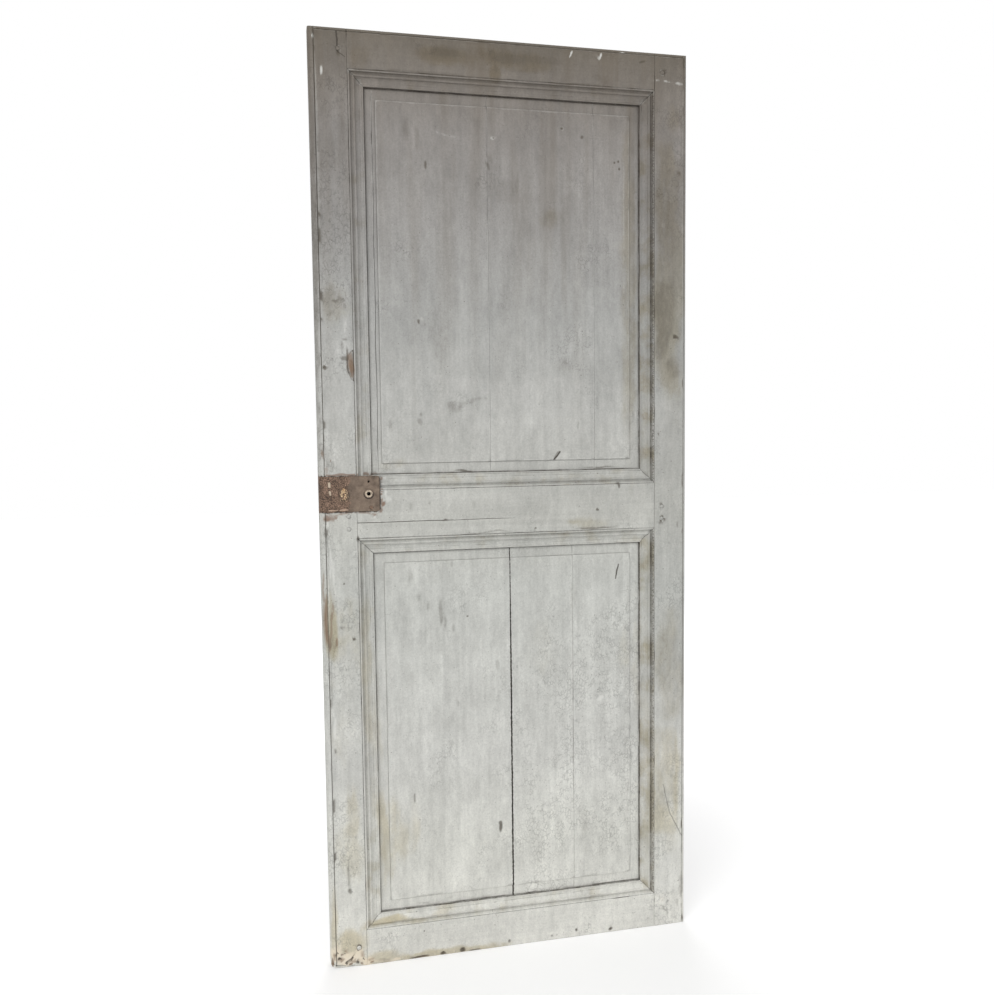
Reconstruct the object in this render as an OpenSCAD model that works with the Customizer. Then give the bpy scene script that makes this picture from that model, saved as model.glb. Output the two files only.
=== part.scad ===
// Old two-panel door leaf: pegged stile-and-rail frame, fielded board panels held
// by mitred planted mouldings, and a rusty let-in lock with its bolts drawn back.
// Front face looks towards -Y, the lock edge is at -X, the hinge edge at +X.
// The origin is the centre of the bottom edge.

/* [Leaf] */
// Width over both stiles
leaf_w = 850; // [800:5:1100]
// Height from the bottom edge to the top edge
leaf_h = 2050; // [1700:10:2500]
// Thickness of the stiles and rails
leaf_t = 34; // [32:1:50]

/* [Stiles and rails] */
// Width of the stile that carries the lock
lock_stile_w = 81; // [75:1:100]
// Width of the stile on the hinge side
hinge_stile_w = 78; // [65:1:120]
// Height of the top rail
top_rail_h = 83; // [70:1:160]
// Height of the middle rail
lock_rail_h = 105; // [95:1:125]
// Height of the bottom rail
bottom_rail_h = 82; // [70:1:240]
// Height of the middle rail's underside above the bottom edge
lock_rail_z = 970; // [850:5:1000]
// Round on the front arris of the lock stile
lock_arris_r = 12; // [9:0.5:12]
// Round on the front arris of the hinge stile
hinge_arris_r = 6; // [2:0.5:12]
// Round on the front arris of the top edge
top_arris_r = 7; // [2:0.5:12]
// Width and depth of the fine groove beside each round
quirk_line = 1.2; // [0.6:0.2:2.4]

/* [Tenons and pegs] */
// Solid wood between a tenon and the leaf's top or bottom edge
tenon_end_wood = 16; // [12:1:30]
// Solid wood between a tenon and a grooved edge of its rail
tenon_edge_wood = 12; // [11:1:20]
// Distance that the middle rail's tenon stops short of the lock edge
lock_tenon_stop = 10; // [6:1:30]
// Distance that the other tenons' ends have shrunk back from the edges
tenon_shrink = 0.6; // [0:0.1:2]
// Clearance around a tenon in its mortise
tenon_gap = 0.1; // [0.05:0.05:0.5]
// Diameter of the pegs
peg_d = 9; // [6:0.5:12]
// Distance from the shoulder to the pegs
peg_from_shoulder = 18; // [12:1:30]
// Distance between the two pegs of a middle rail joint
peg_pitch = 28; // [24:1:30]
// Amount that the pegs stand proud of the front
peg_proud = 0.4; // [0:0.1:1]
// Clearance of pegs, pins and screws in their holes
pin_gap = 0.05; // [0.05:0.05:0.2]

/* [Panels] */
// Thickness of a panel along its edges
panel_edge_t = 12; // [10:0.5:14]
// Rise of the raised field over the panel's margin
field_rise = 3; // [1:0.5:5]
// Distance from the opening's edge to the raised field
field_inset = 58; // [45:1:90]
// Depth of the groove in the frame
groove_depth = 9; // [6:0.5:10]
// Clearance of the panel's faces in the groove
groove_gap = 0.2; // [0.1:0.1:0.5]
// Clearance of the panel's edges at the bottom of the groove
panel_edge_gap = 0.8; // [0.4:0.2:2]
// Visible width of the upper panel's board at the lock side
upper_first_w = 302; // [120:1:320]
// Visible width of the upper panel's board at the hinge side
upper_last_w = 143; // [100:1:240]
// Visible width of the lower panel's board at the lock side
lower_first_w = 343; // [120:1:360]
// Visible width of the lower panel's board at the hinge side
lower_last_w = 198; // [100:1:220]
// Gap at a tight board joint
tight_joint = 0.3; // [0:0.1:1]
// Gap at the lower panel's open joint
open_joint = 1.6; // [0.5:0.1:3]
// Thickness of the boards' tongues
tongue_t = 3; // [2:0.5:5]
// Length of the boards' tongues
tongue_l = 6; // [4:0.5:8]

/* [Mouldings] */
// Width of the planted moulding
mould_w = 34; // [30:1:42]
// Depth from the frame's face to the panel's margin
mould_set = 13; // [12:0.5:14]
// Width of the flat lip beside the frame
lip_w = 4; // [2:0.5:6]
// Width of the deep groove next to the lip
quirk_w = 6; // [4:0.5:7]
// Radius of the bead beside the groove
crest_r = 2.5; // [1.5:0.1:3]
// Radius of the small bead at the panel
edge_bead_r = 1.9; // [1.2:0.1:2.5]
// Diameter of the pins that hold the mouldings
pin_d = 1.6; // [1.2:0.2:2.4]
// Length of a pin in the frame
pin_bite = 14; // [10:1:25]
// Largest spacing between pins
pin_pitch = 240; // [120:10:400]

/* [Lock] */
// Height of the lock's centre line above the bottom edge
lock_z = 1068; // [1060:1:1072]
// Height of the lock plate
plate_h = 78; // [78:1:96]
// Thickness of the lock plate and its forend
plate_t = 2.5; // [1.5:0.5:3]
// Radius of the plate's inner corners
plate_corner_r = 7; // [3:1:12]
// Width of the plate's border beyond the case
plate_border = 4; // [3:1:6]
// Thickness of the case's rim and back cover
case_t = 2; // [1:0.5:3]
// Depth inside the case
case_depth = 20.5; // [20:0.5:21]
// Height of the forend on the leaf's edge
forend_h = 120; // [114:2:130]
// Distance from the lock edge to the centre of the spindle
spindle_x = 107; // [105:1:130]
// Square hole for a handle's spindle
spindle_sq = 7; // [6:0.5:8]
// Distance from the lock edge to the keyhole
key_x = 53; // [50:1:56]
// Width of the keyhole's slot
key_slot_w = 4.6; // [4.4:0.1:6]
// Travel of the latch bolt
latch_throw = 10; // [6:1:12]
// Travel of the dead bolt
dead_throw = 14; // [8:1:16]

/* [Hidden] */

$fn = 64;
cut = 1;                  // overshoot of cutting tools
slide_gap = 0.3;          // between pieces that slide or turn past each other
case_gap = 0.1;           // between the lock's case and the bent plate
let_in_gap = 0.2;         // between the lock's plate or forend and the wood
pocket_gap = 0.5;         // between the lock's case and the wood round it
front = -leaf_t / 2;      // y of the frame's front face

// x measured from the lock edge, z measured from the lock's centre line
function edge_x(a) = a - leaf_w / 2;
function lock_at(b) = lock_z + b;

// the two openings in the frame
open_x0 = edge_x(lock_stile_w);
open_x1 = leaf_w / 2 - hinge_stile_w;
upper_z = [lock_rail_z + lock_rail_h, leaf_h - top_rail_h];
lower_z = [bottom_rail_h, lock_rail_z];

// depths measured back from the frame's front face
groove_d0 = mould_set - groove_gap;
groove_d1 = mould_set + panel_edge_t + groove_gap;
panel_back = mould_set + panel_edge_t;
field_d = mould_set - field_rise;
tongue_d = mould_set + (panel_edge_t - tongue_t) / 2;
panel_over = groove_depth - panel_edge_gap;

// heights of the tenons
top_tenon = [upper_z[1] + tenon_edge_wood, leaf_h - tenon_end_wood];
bottom_tenon = [tenon_end_wood, bottom_rail_h - tenon_edge_wood];
pocket_half = (plate_h - 2 * plate_border) / 2 + pocket_gap;
lock_tenon_low = lock_rail_z + tenon_edge_wood;
lock_tenon_high = lock_z - plate_h / 2 - 1;
hinge_tenon_high = upper_z[0] - tenon_edge_wood;
lock_peg_mid = (lock_tenon_low + lock_tenon_high) / 2;

// pegs as [x, z]
peg_lock_x = open_x0 - peg_from_shoulder;
peg_hinge_x = open_x1 + peg_from_shoulder;
top_peg_z = [(top_tenon[0] + top_tenon[1]) / 2];
bottom_peg_z = [(bottom_tenon[0] + bottom_tenon[1]) / 2];
lock_peg_z = [lock_peg_mid - peg_pitch / 2, lock_peg_mid + peg_pitch / 2];

// moulding profile: u runs in from the opening's edge, v up from the panel
mould_top = mould_set - groove_gap - 0.2;
mould_low = 5;
crest_u = lip_w + quirk_w + crest_r + 0.5;
crest_v = mould_top - crest_r - 0.3;
cove_from = [crest_u + crest_r, crest_v - 0.4];
cove_to = [mould_w - 2 * edge_bead_r, mould_low];
cove_sag = 1.8;
pin_depth = 10;
pin_corner = 90;

// case of the lock, measured from the lock edge
case_l = spindle_x + 20;
plate_l = case_l + 5;
case_half = (plate_h - 2 * plate_border) / 2;
bend_x = plate_t + lock_arris_r;
forend_d1 = case_depth + case_t + 1.5;
pocket_floor = case_depth + case_t + slide_gap;

// bolts and follower, heights from the lock's centre line
bolt_d = [lock_arris_r + 1.2, case_depth - 0.8];
tail_d = [14.5, 17.5];
latch_head = [-29, -9];
latch_tail = [-27.5, -18.5];
latch_nose = [9, 1.5];
dead_head = [6, 28];
dead_tail = [10, 25];
key_notch = [8, 5];
head_x = 0.4;
head_l = 21;
follower_r = 9;
front_journal_r = 8;
front_journal_proud = 0.8;
back_journal_r = 7;
shoulder_gap = 0.2;
spindle_gap = 0.1;
spindle_hole_r = 6;
spindle_end = 3;
arm_l = 13;
arm_half = 2;
arm_tip_r = 3;
arm_d = [14, 18];
arm_lean = asin(latch_throw / 2 / arm_l);
fork_in = arm_tip_r + slide_gap;
fork_out = fork_in + 3;
fork_top = -10.8;
fork_x = spindle_x + arm_l * sin(arm_lean);
pillar_r = 2;
latch_pillar = [70, -23];
dead_pillar = [78, 17.5];
spare_pillar = [94, 29];

// case screws as [distance from edge, height]; the last hole has lost its screw
case_screws = [[30, -1.5], [spindle_x + 5, -30.2]];
empty_hole = [spindle_x, 26];
screw_r = 2;
screw_head_r = 4;
screw_head_t = 1.5;
case_screw_end = case_depth + case_t + 9;
forend_screw_z = forend_h / 2 - 8;
forend_screw_l = 24;

// key side
key_round_r = 4;
key_slot_low = -13;
escutcheon_r = 9.5;
escutcheon_z = [-8.5, 3.5];
escutcheon_t = 1;
drop_pivot_z = 9.5;
drop_low_z = -5;
drop_r = [4, 6.4];
drop_t = 1.5;
rivet_r = 1.5;
rivet_head = [3, 1.2];

// leaf springs as [distance from edge, height over the bolt's tail or the case's floor];
// of the latch's spring only the root is left
bolt_spring_low = [[62, 3], [48, 0], [42, 1.3], [42, 2.4], [48, 1.1], [61.5, 4.1]];
bolt_spring_root = [77, 88];
latch_spring_stub = [[52, 0], [64, 0], [74, 3.2], [73.4, 4], [63.6, 1], [52, 1]];

// drying cracks: depth, start and length
crack_depth = 3;
rail_crack_z = 34;
rail_crack_l = 356;
board_crack_x = field_inset - 8;
board_crack_z = mould_w + 4;

// ragged lines as [share of the length, sideways, half width]
board_crack = [[0, 0, 0.1], [0.08, -1.2, 0.7], [0.2, 0.6, 0.5], [0.33, -0.8, 0.9],
    [0.47, 0.7, 0.6], [0.6, -0.3, 0.5], [0.74, 1.2, 0.4], [0.88, 0.2, 0.4], [1, 0.8, 0.1]];
rail_crack = [[0, 0.3, 0.5], [0.15, -0.2, 0.4], [0.35, 0.5, 0.5], [0.6, -0.3, 0.35],
    [0.8, 0.2, 0.3], [1, 0, 0.1]];

// ---- small helpers ----

module block(x0, x1, d0, d1, z0, z1) {
    translate([x0, front + d0, z0]) cube([x1 - x0, d1 - d0, z1 - z0]);
}

module rod_y(x, z, d0, d1, r) {
    translate([x, front + d0, z]) rotate([-90, 0, 0]) cylinder(h = d1 - d0, r = r);
}

// a flat shape drawn as seen from the front, from depth d0 to d1
module face_plate(d0, d1) {
    translate([0, front + d1, 0]) rotate([90, 0, 0]) linear_extrude(d1 - d0) children();
}

// ragged slit along +Y of the drawing, len long
module ragged_slit(line, len) {
    n = len(line);
    polygon(concat(
        [for (i = [0:n - 1]) [line[i][1] - line[i][2], line[i][0] * len]],
        [for (i = [n - 1:-1:0]) [line[i][1] + line[i][2], line[i][0] * len]]));
}

// what is cut away to round an arris that runs along Z
module arris_tool(r) {
    difference() {
        translate([-cut, -cut]) square(r + cut);
        translate([r, r]) circle(r = r);
    }
}

// ---- frame ----

module stile_arris(x, side, r) {
    translate([x, front, -cut]) mirror([side < 0 ? 1 : 0, 0, 0])
        linear_extrude(leaf_h + 2 * cut) arris_tool(r);
    translate([x, front, -cut]) mirror([side < 0 ? 1 : 0, 0, 0])
        translate([r, -cut, 0]) cube([quirk_line, quirk_line + cut, leaf_h + 2 * cut]);
}

module top_arris(x0, x1) {
    translate([x1 + cut, front, leaf_h]) rotate([0, 90, 180]) mirror([0, 1, 0])
        linear_extrude(x1 - x0 + 2 * cut) arris_tool(top_arris_r);
}

module top_line(x0, x1) {
    block(x0, x1, -cut, quirk_line, leaf_h - top_arris_r - quirk_line, leaf_h - top_arris_r);
}

module stile_groove(x0, x1) {
    for (span = [upper_z, lower_z])
        block(x0, x1, groove_d0, groove_d1, span[0] - groove_depth, span[1] + groove_depth);
}

module mortise(x0, x1, span) {
    block(x0, x1, groove_d0 - tenon_gap, groove_d1 + tenon_gap,
        span[0] - tenon_gap, span[1] + tenon_gap);
}

module peg_set(x, heights, grow, over) {
    for (z = heights) rod_y(x, z, -over, leaf_t + over, peg_d / 2 + grow);
}

module lock_stile() {
    x1 = open_x0;
    color("gainsboro") difference() {
        block(edge_x(0), x1, 0, leaf_t, 0, leaf_h);
        stile_arris(edge_x(0), 1, lock_arris_r);
        top_arris(edge_x(0), x1);
        top_line(edge_x(lock_arris_r), x1 + cut);
        stile_groove(x1 - groove_depth, x1 + cut);
        mortise(edge_x(-cut), x1 + cut, top_tenon);
        mortise(edge_x(-cut), x1 + cut, bottom_tenon);
        mortise(edge_x(lock_tenon_stop) - slide_gap, x1 + cut, [lock_tenon_low, lock_tenon_high]);
        for (set = [top_peg_z, lock_peg_z, bottom_peg_z]) peg_set(peg_lock_x, set, pin_gap, cut);
        all_pin_holes();
        lock_recess();
        key_shape(case_depth, leaf_t + cut);
        lock_screw_shapes(pin_gap);
        splinter_scar();
        worn_foot();
    }
}

module hinge_stile() {
    x0 = open_x1;
    x1 = leaf_w / 2;
    color("lightgray") difference() {
        block(x0, x1, 0, leaf_t, 0, leaf_h);
        stile_arris(x1, -1, hinge_arris_r);
        top_arris(x0, x1);
        top_line(x0 - cut, x1 - hinge_arris_r);
        stile_groove(x0 - cut, x0 + groove_depth);
        mortise(x0 - cut, x1 + cut, top_tenon);
        mortise(x0 - cut, x1 + cut, bottom_tenon);
        mortise(x0 - cut, x1 + cut, [lock_tenon_low, hinge_tenon_high]);
        for (set = [top_peg_z, lock_peg_z, bottom_peg_z]) peg_set(peg_hinge_x, set, pin_gap, cut);
        all_pin_holes();
    }
}

// a rail between the stiles, with a tenon into each
module rail_blank(z0, z1, lock_span, lock_stop, hinge_span) {
    block(open_x0, open_x1, 0, leaf_t, z0, z1);
    block(edge_x(lock_stop), open_x0 + cut, groove_d0, groove_d1, lock_span[0], lock_span[1]);
    block(open_x1 - cut, leaf_w / 2 - tenon_shrink, groove_d0, groove_d1,
        hinge_span[0], hinge_span[1]);
}

module rail_groove(z0, z1) {
    block(open_x0 - cut, open_x1 + cut, groove_d0, groove_d1, z0, z1);
}

module top_rail() {
    color("rosybrown") difference() {
        rail_blank(upper_z[1], leaf_h, top_tenon, tenon_shrink, top_tenon);
        top_arris(open_x0, open_x1);
        top_line(open_x0 - cut, open_x1 + cut);
        rail_groove(upper_z[1] - cut, upper_z[1] + groove_depth);
        peg_set(peg_lock_x, top_peg_z, pin_gap, cut);
        peg_set(peg_hinge_x, top_peg_z, pin_gap, cut);
        all_pin_holes();
    }
}

module lock_rail() {
    color("lightgray") difference() {
        rail_blank(lock_rail_z, upper_z[0], [lock_tenon_low, lock_tenon_high], lock_tenon_stop,
            [lock_tenon_low, hinge_tenon_high]);
        rail_groove(lock_rail_z - cut, lock_rail_z + groove_depth);
        rail_groove(upper_z[0] - groove_depth, upper_z[0] + cut);
        peg_set(peg_lock_x, lock_peg_z, pin_gap, cut);
        peg_set(peg_hinge_x, lock_peg_z, pin_gap, cut);
        all_pin_holes();
        lock_recess();
        spindle_way();
        lock_screw_shapes(pin_gap);
        // a long drying crack in from the lock stile
        face_plate(-cut, crack_depth) translate([open_x0 - cut, lock_rail_z + rail_crack_z])
            rotate(-90) mirror([1, 0]) ragged_slit(rail_crack, rail_crack_l);
    }
}

module bottom_rail() {
    color("gainsboro") difference() {
        rail_blank(0, bottom_rail_h, bottom_tenon, tenon_shrink, bottom_tenon);
        rail_groove(bottom_rail_h - groove_depth, bottom_rail_h + cut);
        peg_set(peg_lock_x, bottom_peg_z, pin_gap, cut);
        peg_set(peg_hinge_x, bottom_peg_z, pin_gap, cut);
        all_pin_holes();
    }
}

// a splinter torn from the lock stile beside the upper panel
module splinter_scar() {
    face_plate(-cut, 1.2) translate([open_x0, lock_rail_z + 341])
        polygon([[0, 0], [-7, 6], [-12, 20], [-12.5, 44], [-9, 60], [-4, 66], [0, 68]]);
}

// the foot of the lock stile, eaten away at its outer corner
module worn_foot() {
    face_plate(-cut, leaf_t + cut) translate([edge_x(0), 0])
        polygon([[-cut, -cut], [-cut, 9], [1.5, 7], [3, 4.5], [8, 3.5], [13, 1.5], [22, 1],
            [30, -cut]]);
    face_plate(-cut, 2.5) translate([edge_x(0), 0])
        polygon([[-cut, -cut], [-cut, 24], [3, 18], [6, 12], [15, 8], [26, 7], [38, 4],
            [52, 3], [60, -cut]]);
}

// ---- pegs ----

module pegs(heights) {
    color("tan") for (x = [peg_lock_x, peg_hinge_x], z = heights)
        rod_y(x, z, -peg_proud, leaf_t, peg_d / 2);
}

module top_rail_pegs() { pegs(top_peg_z); }
module lock_rail_pegs() { pegs(lock_peg_z); }
module bottom_rail_pegs() { pegs(bottom_peg_z); }

// ---- panel boards ----

// One board between x = a and x = b, with its share of the raised field; a board
// that is not the last has a tongue, one that is not the first has a groove.
module board(span, a, b, has_tongue, has_groove) {
    z0 = span[0] - panel_over;
    z1 = span[1] + panel_over;
    difference() {
        union() {
            block(a, b, mould_set, panel_back, z0, z1);
            block(max(a, open_x0 + field_inset), min(b, open_x1 - field_inset), field_d,
                panel_back, span[0] + field_inset, span[1] - field_inset);
            if (has_tongue)
                block(b - cut, b + tongue_l, tongue_d, tongue_d + tongue_t, z0, z1);
        }
        if (has_groove)
            block(a - cut, a + tongue_l + 1, tongue_d - 0.1, tongue_d + tongue_t + 0.1,
                z0 - cut, z1 + cut);
    }
}

// the three boards of a panel, board 1 at the lock side
module panel_board(i, span, first_w, last_w, gaps) {
    first_end = open_x0 + first_w;
    last_start = open_x1 - last_w;
    if (i == 1) board(span, open_x0 - panel_over, first_end, true, false);
    if (i == 2) board(span, first_end + gaps[0], last_start - gaps[1], true, true);
    if (i == 3) board(span, last_start, open_x1 + panel_over, false, true);
}

module upper_board(i) {
    panel_board(i, upper_z, upper_first_w, upper_last_w, [tight_joint, tight_joint]);
}

module lower_board(i) {
    panel_board(i, lower_z, lower_first_w, lower_last_w, [open_joint, tight_joint]);
}

module upper_board_1() {
    color("silver") difference() {
        upper_board(1);
        lock_recess();
        spindle_way();
        face_plate(mould_set - cut, mould_set + crack_depth)
            translate([open_x0 + board_crack_x, upper_z[0] + board_crack_z])
            ragged_slit(board_crack, upper_z[1] - upper_z[0] - 2 * board_crack_z);
    }
}

module upper_board_2() { color("lightgray") upper_board(2); }
module upper_board_3() { color("silver") upper_board(3); }
module lower_board_1() { color("gainsboro") lower_board(1); }
module lower_board_2() { color("lightgray") lower_board(2); }
module lower_board_3() { color("gainsboro") lower_board(3); }

// ---- planted mouldings ----

// centre of a hollow of the given sag between two points, on the upper side
function hollow_r(p, q, sag) = (pow(norm(q - p), 2) / 4 + sag * sag) / (2 * sag);
function hollow_centre(p, q, sag) =
    (p + q) / 2 + (hollow_r(p, q, sag) - sag) * [p[1] - q[1], q[0] - p[0]] / norm(q - p);

module mould_profile() {
    difference() {
        polygon([[0, 0], [0, mould_top], [lip_w + quirk_w / 2, mould_top],
            [lip_w + quirk_w / 2, crest_v], cove_from, cove_to, [mould_w, mould_low],
            [mould_w, 0]]);
        translate([lip_w, mould_top - quirk_w / 4]) square([quirk_w, quirk_w / 4 + cut]);
        translate([lip_w + quirk_w / 2, mould_top - quirk_w / 4]) circle(d = quirk_w);
        translate(hollow_centre(cove_from, cove_to, cove_sag))
            circle(r = hollow_r(cove_from, cove_to, cove_sag), $fn = 180);
    }
    translate([crest_u, crest_v]) circle(r = crest_r);
    translate([mould_w - edge_bead_r, mould_low]) circle(r = edge_bead_r);
}

// a strip along +X from the origin, its inner side towards +Z, mitred at both ends
module mould_strip(len) {
    intersection() {
        rotate([180, -90, 0]) linear_extrude(len) mould_profile();
        rotate([90, 0, 0]) linear_extrude(mould_set)
            polygon([[0, 0], [len, 0], [len - mould_w, mould_w], [mould_w, mould_w]]);
    }
}

// side 0 is the bottom strip, 1 the hinge side, 2 the top and 3 the lock side
function strip_len(side, span) = side % 2 == 0 ? open_x1 - open_x0 : span[1] - span[0];

module on_side(side, span) {
    x = side == 0 || side == 3 ? open_x0 : open_x1;
    z = side < 2 ? span[0] : span[1];
    translate([x, front + groove_d0, z]) rotate([0, -90 * side, 0]) children();
}

module mould(side, span) {
    difference() {
        on_side(side, span) mould_strip(strip_len(side, span));
        all_pin_holes();
    }
}

// pins of one side, driven level through the strip into the frame
module side_pins(side, span, grow) {
    len = strip_len(side, span);
    run = len - 2 * pin_corner;
    n = ceil(run / pin_pitch);
    on_side(side, span) for (i = [0:n])
        translate([pin_corner + i * run / n, pin_depth - groove_d0, -pin_bite - grow])
            cylinder(h = mould_w + pin_bite + 2 * grow, r = pin_d / 2 + grow, $fn = 24);
}

module pins(span, grow) {
    for (side = [0:3]) side_pins(side, span, grow);
}

module all_pin_holes() {
    pins(upper_z, pin_gap);
    pins(lower_z, pin_gap);
}

module upper_mould_bottom() {
    color("silver") difference() {
        mould(0, upper_z);
        lock_recess();
    }
}

module upper_mould_lock() {
    color("silver") difference() {
        mould(3, upper_z);
        lock_recess();
    }
}

module upper_mould_hinge() { color("silver") mould(1, upper_z); }
module upper_mould_top() { color("darkgray") mould(2, upper_z); }
module lower_mould_bottom() { color("gainsboro") mould(0, lower_z); }
module lower_mould_hinge() { color("gainsboro") mould(1, lower_z); }
module lower_mould_top() { color("lightgray") mould(2, lower_z); }
module lower_mould_lock() { color("gainsboro") mould(3, lower_z); }
module upper_mould_pins() { color("dimgray") pins(upper_z, 0); }
module lower_mould_pins() { color("dimgray") pins(lower_z, 0); }

// ---- lock ----

module lock_block(a0, a1, d0, d1, b0, b1) {
    block(edge_x(a0), edge_x(a1), d0, d1, lock_at(b0), lock_at(b1));
}

module lock_rod(a, b, d0, d1, r) {
    rod_y(edge_x(a), lock_at(b), d0, d1, r);
}

// room in the wood for the case, the forend and the bend of the plate
module lock_recess() {
    lock_block(-cut, case_l + pocket_gap, -cut, pocket_floor, -pocket_half, pocket_half);
    lock_block(-cut, plate_t, lock_arris_r, forend_d1 + let_in_gap,
        -forend_h / 2 - let_in_gap, forend_h / 2 + let_in_gap);
    difference() {
        lock_block(-cut, bend_x, -cut, lock_arris_r,
            -plate_h / 2 - let_in_gap, plate_h / 2 + let_in_gap);
        translate([edge_x(bend_x), front + lock_arris_r, lock_at(-plate_h)])
            cylinder(h = 2 * plate_h, r = lock_arris_r - case_gap);
    }
}

// way for the end of a handle's spindle, closed at the back by the last of the wood
module spindle_way() {
    lock_rod(spindle_x, 0, case_depth, leaf_t - spindle_end, spindle_hole_r);
}

module key_shape(d0, d1) {
    lock_rod(key_x, 0, d0, d1, key_round_r);
    lock_block(key_x - key_slot_w / 2, key_x + key_slot_w / 2, d0, d1, key_slot_low, 0);
}

// screws through the case and the forend, or their holes when grown
module lock_screw_shapes(grow) {
    for (s = case_screws) {
        lock_rod(s[0], s[1], -plate_t - (grow > 0 ? cut : 0), screw_head_t - plate_t + grow,
            screw_head_r + grow);
        lock_rod(s[0], s[1], screw_head_t - plate_t - grow, case_screw_end + grow,
            screw_r + grow);
    }
    for (b = [-forend_screw_z, forend_screw_z])
        translate([edge_x(0), front + (lock_arris_r + forend_d1) / 2, lock_at(b)])
            rotate([0, 90, 0]) {
                translate([0, 0, grow > 0 ? -cut : 0])
                    cylinder(h = screw_head_t + grow + (grow > 0 ? cut : 0),
                        r = screw_head_r + grow);
                translate([0, 0, screw_head_t - grow])
                    cylinder(h = forend_screw_l + 2 * grow, r = screw_r + grow);
            }
}

module lock_screws() { color("saddlebrown") lock_screw_shapes(0); }

// the sheet that covers the lock's face and bends round the arris into the forend
module lock_plate() {
    r = plate_corner_r;
    color("sienna") difference() {
        union() {
            lock_block(bend_x, plate_l - r, -plate_t, 0, -plate_h / 2, plate_h / 2);
            lock_block(plate_l - r - cut, plate_l, -plate_t, 0, r - plate_h / 2, plate_h / 2 - r);
            for (b = [r - plate_h / 2, plate_h / 2 - r]) lock_rod(plate_l - r, b, -plate_t, 0, r);
            translate([edge_x(bend_x), front + lock_arris_r, lock_at(-plate_h / 2)])
                linear_extrude(plate_h) intersection() {
                    difference() {
                        circle(r = lock_arris_r + plate_t);
                        circle(r = lock_arris_r);
                    }
                    translate([-2 * bend_x, -2 * bend_x]) square(2 * bend_x);
                }
            lock_block(0, plate_t, lock_arris_r, forend_d1, -forend_h / 2, forend_h / 2);
        }
        lock_rod(spindle_x, 0, -plate_t - cut, cut, front_journal_r + pin_gap);
        lock_rod(empty_hole[0], empty_hole[1], -plate_t - cut, cut, screw_r);
        lock_rod(key_x, drop_pivot_z, -plate_t - cut, cut, rivet_r + pin_gap);
        key_shape(-plate_t - cut, cut);
        lock_screw_shapes(pin_gap);
        for (head = [latch_head, dead_head])
            lock_block(-cut, plate_t + cut, bolt_d[0] - slide_gap, bolt_d[1] + slide_gap,
                head[0] - slide_gap, head[1] + slide_gap);
    }
}

// outline of the case as seen from above, inside the bent plate
module case_outline() {
    r = lock_arris_r - case_gap;
    intersection() {
        translate([edge_x(bend_x), front + lock_arris_r]) circle(r = r);
        translate([edge_x(0), front]) square([bend_x + cut, lock_arris_r + cut]);
    }
    translate([edge_x(bend_x), front]) square([case_l - bend_x, case_depth]);
    translate([edge_x(plate_t + case_gap), front + lock_arris_r])
        square([bend_x, case_depth - lock_arris_r]);
}

module lock_rim() {
    color("peru") {
        for (b = [-case_half, case_half - case_t])
            translate([0, 0, lock_at(b)]) linear_extrude(case_t) case_outline();
        lock_block(case_l - case_t, case_l, 0, case_depth, -case_half, case_half);
    }
}

module lock_cover() {
    color("peru") difference() {
        lock_block(plate_t + case_gap, case_l, case_depth, case_depth + case_t,
            -case_half, case_half);
        lock_rod(spindle_x, 0, case_depth - cut, case_depth + case_t + cut,
            back_journal_r + pin_gap);
        lock_rod(empty_hole[0], empty_hole[1], case_depth - cut, case_depth + case_t + cut, screw_r);
        key_shape(case_depth - cut, case_depth + case_t + cut);
        lock_screw_shapes(pin_gap);
    }
}

module lock_pillars() {
    color("dimgray") for (p = [latch_pillar, dead_pillar, spare_pillar])
        lock_rod(p[0], p[1], 0, case_depth, pillar_r);
}

// turned by a handle's spindle; its arm stands in the fork of the latch's tail and is
// drawn here with the latch pulled back
module follower() {
    half = spindle_sq / 2 + spindle_gap;
    color("goldenrod") difference() {
        union() {
            lock_rod(spindle_x, 0, -plate_t - front_journal_proud, cut, front_journal_r);
            lock_rod(spindle_x, 0, shoulder_gap, case_depth - shoulder_gap, follower_r);
            lock_rod(spindle_x, 0, case_depth - cut, case_depth + case_t, back_journal_r);
            translate([edge_x(spindle_x), 0, lock_z]) rotate([0, -arm_lean, 0]) {
                block(-arm_half, arm_half, arm_d[0], arm_d[1], -arm_l, 0);
                rod_y(0, -arm_l, arm_d[0], arm_d[1], arm_tip_r);
            }
        }
        lock_block(spindle_x - half, spindle_x + half, -plate_t - front_journal_proud - cut,
            case_depth + case_t + cut, -half, half);
    }
}

// slot in a bolt's tail that rides on a pillar while the bolt travels
module pillar_slot(p, travel) {
    r = pillar_r + slide_gap;
    for (a = [p[0], p[0] + travel]) lock_rod(a, p[1], tail_d[0] - cut, tail_d[1] + cut, r);
    lock_block(p[0], p[0] + travel, tail_d[0] - cut, tail_d[1] + cut, p[1] - r, p[1] + r);
}

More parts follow.
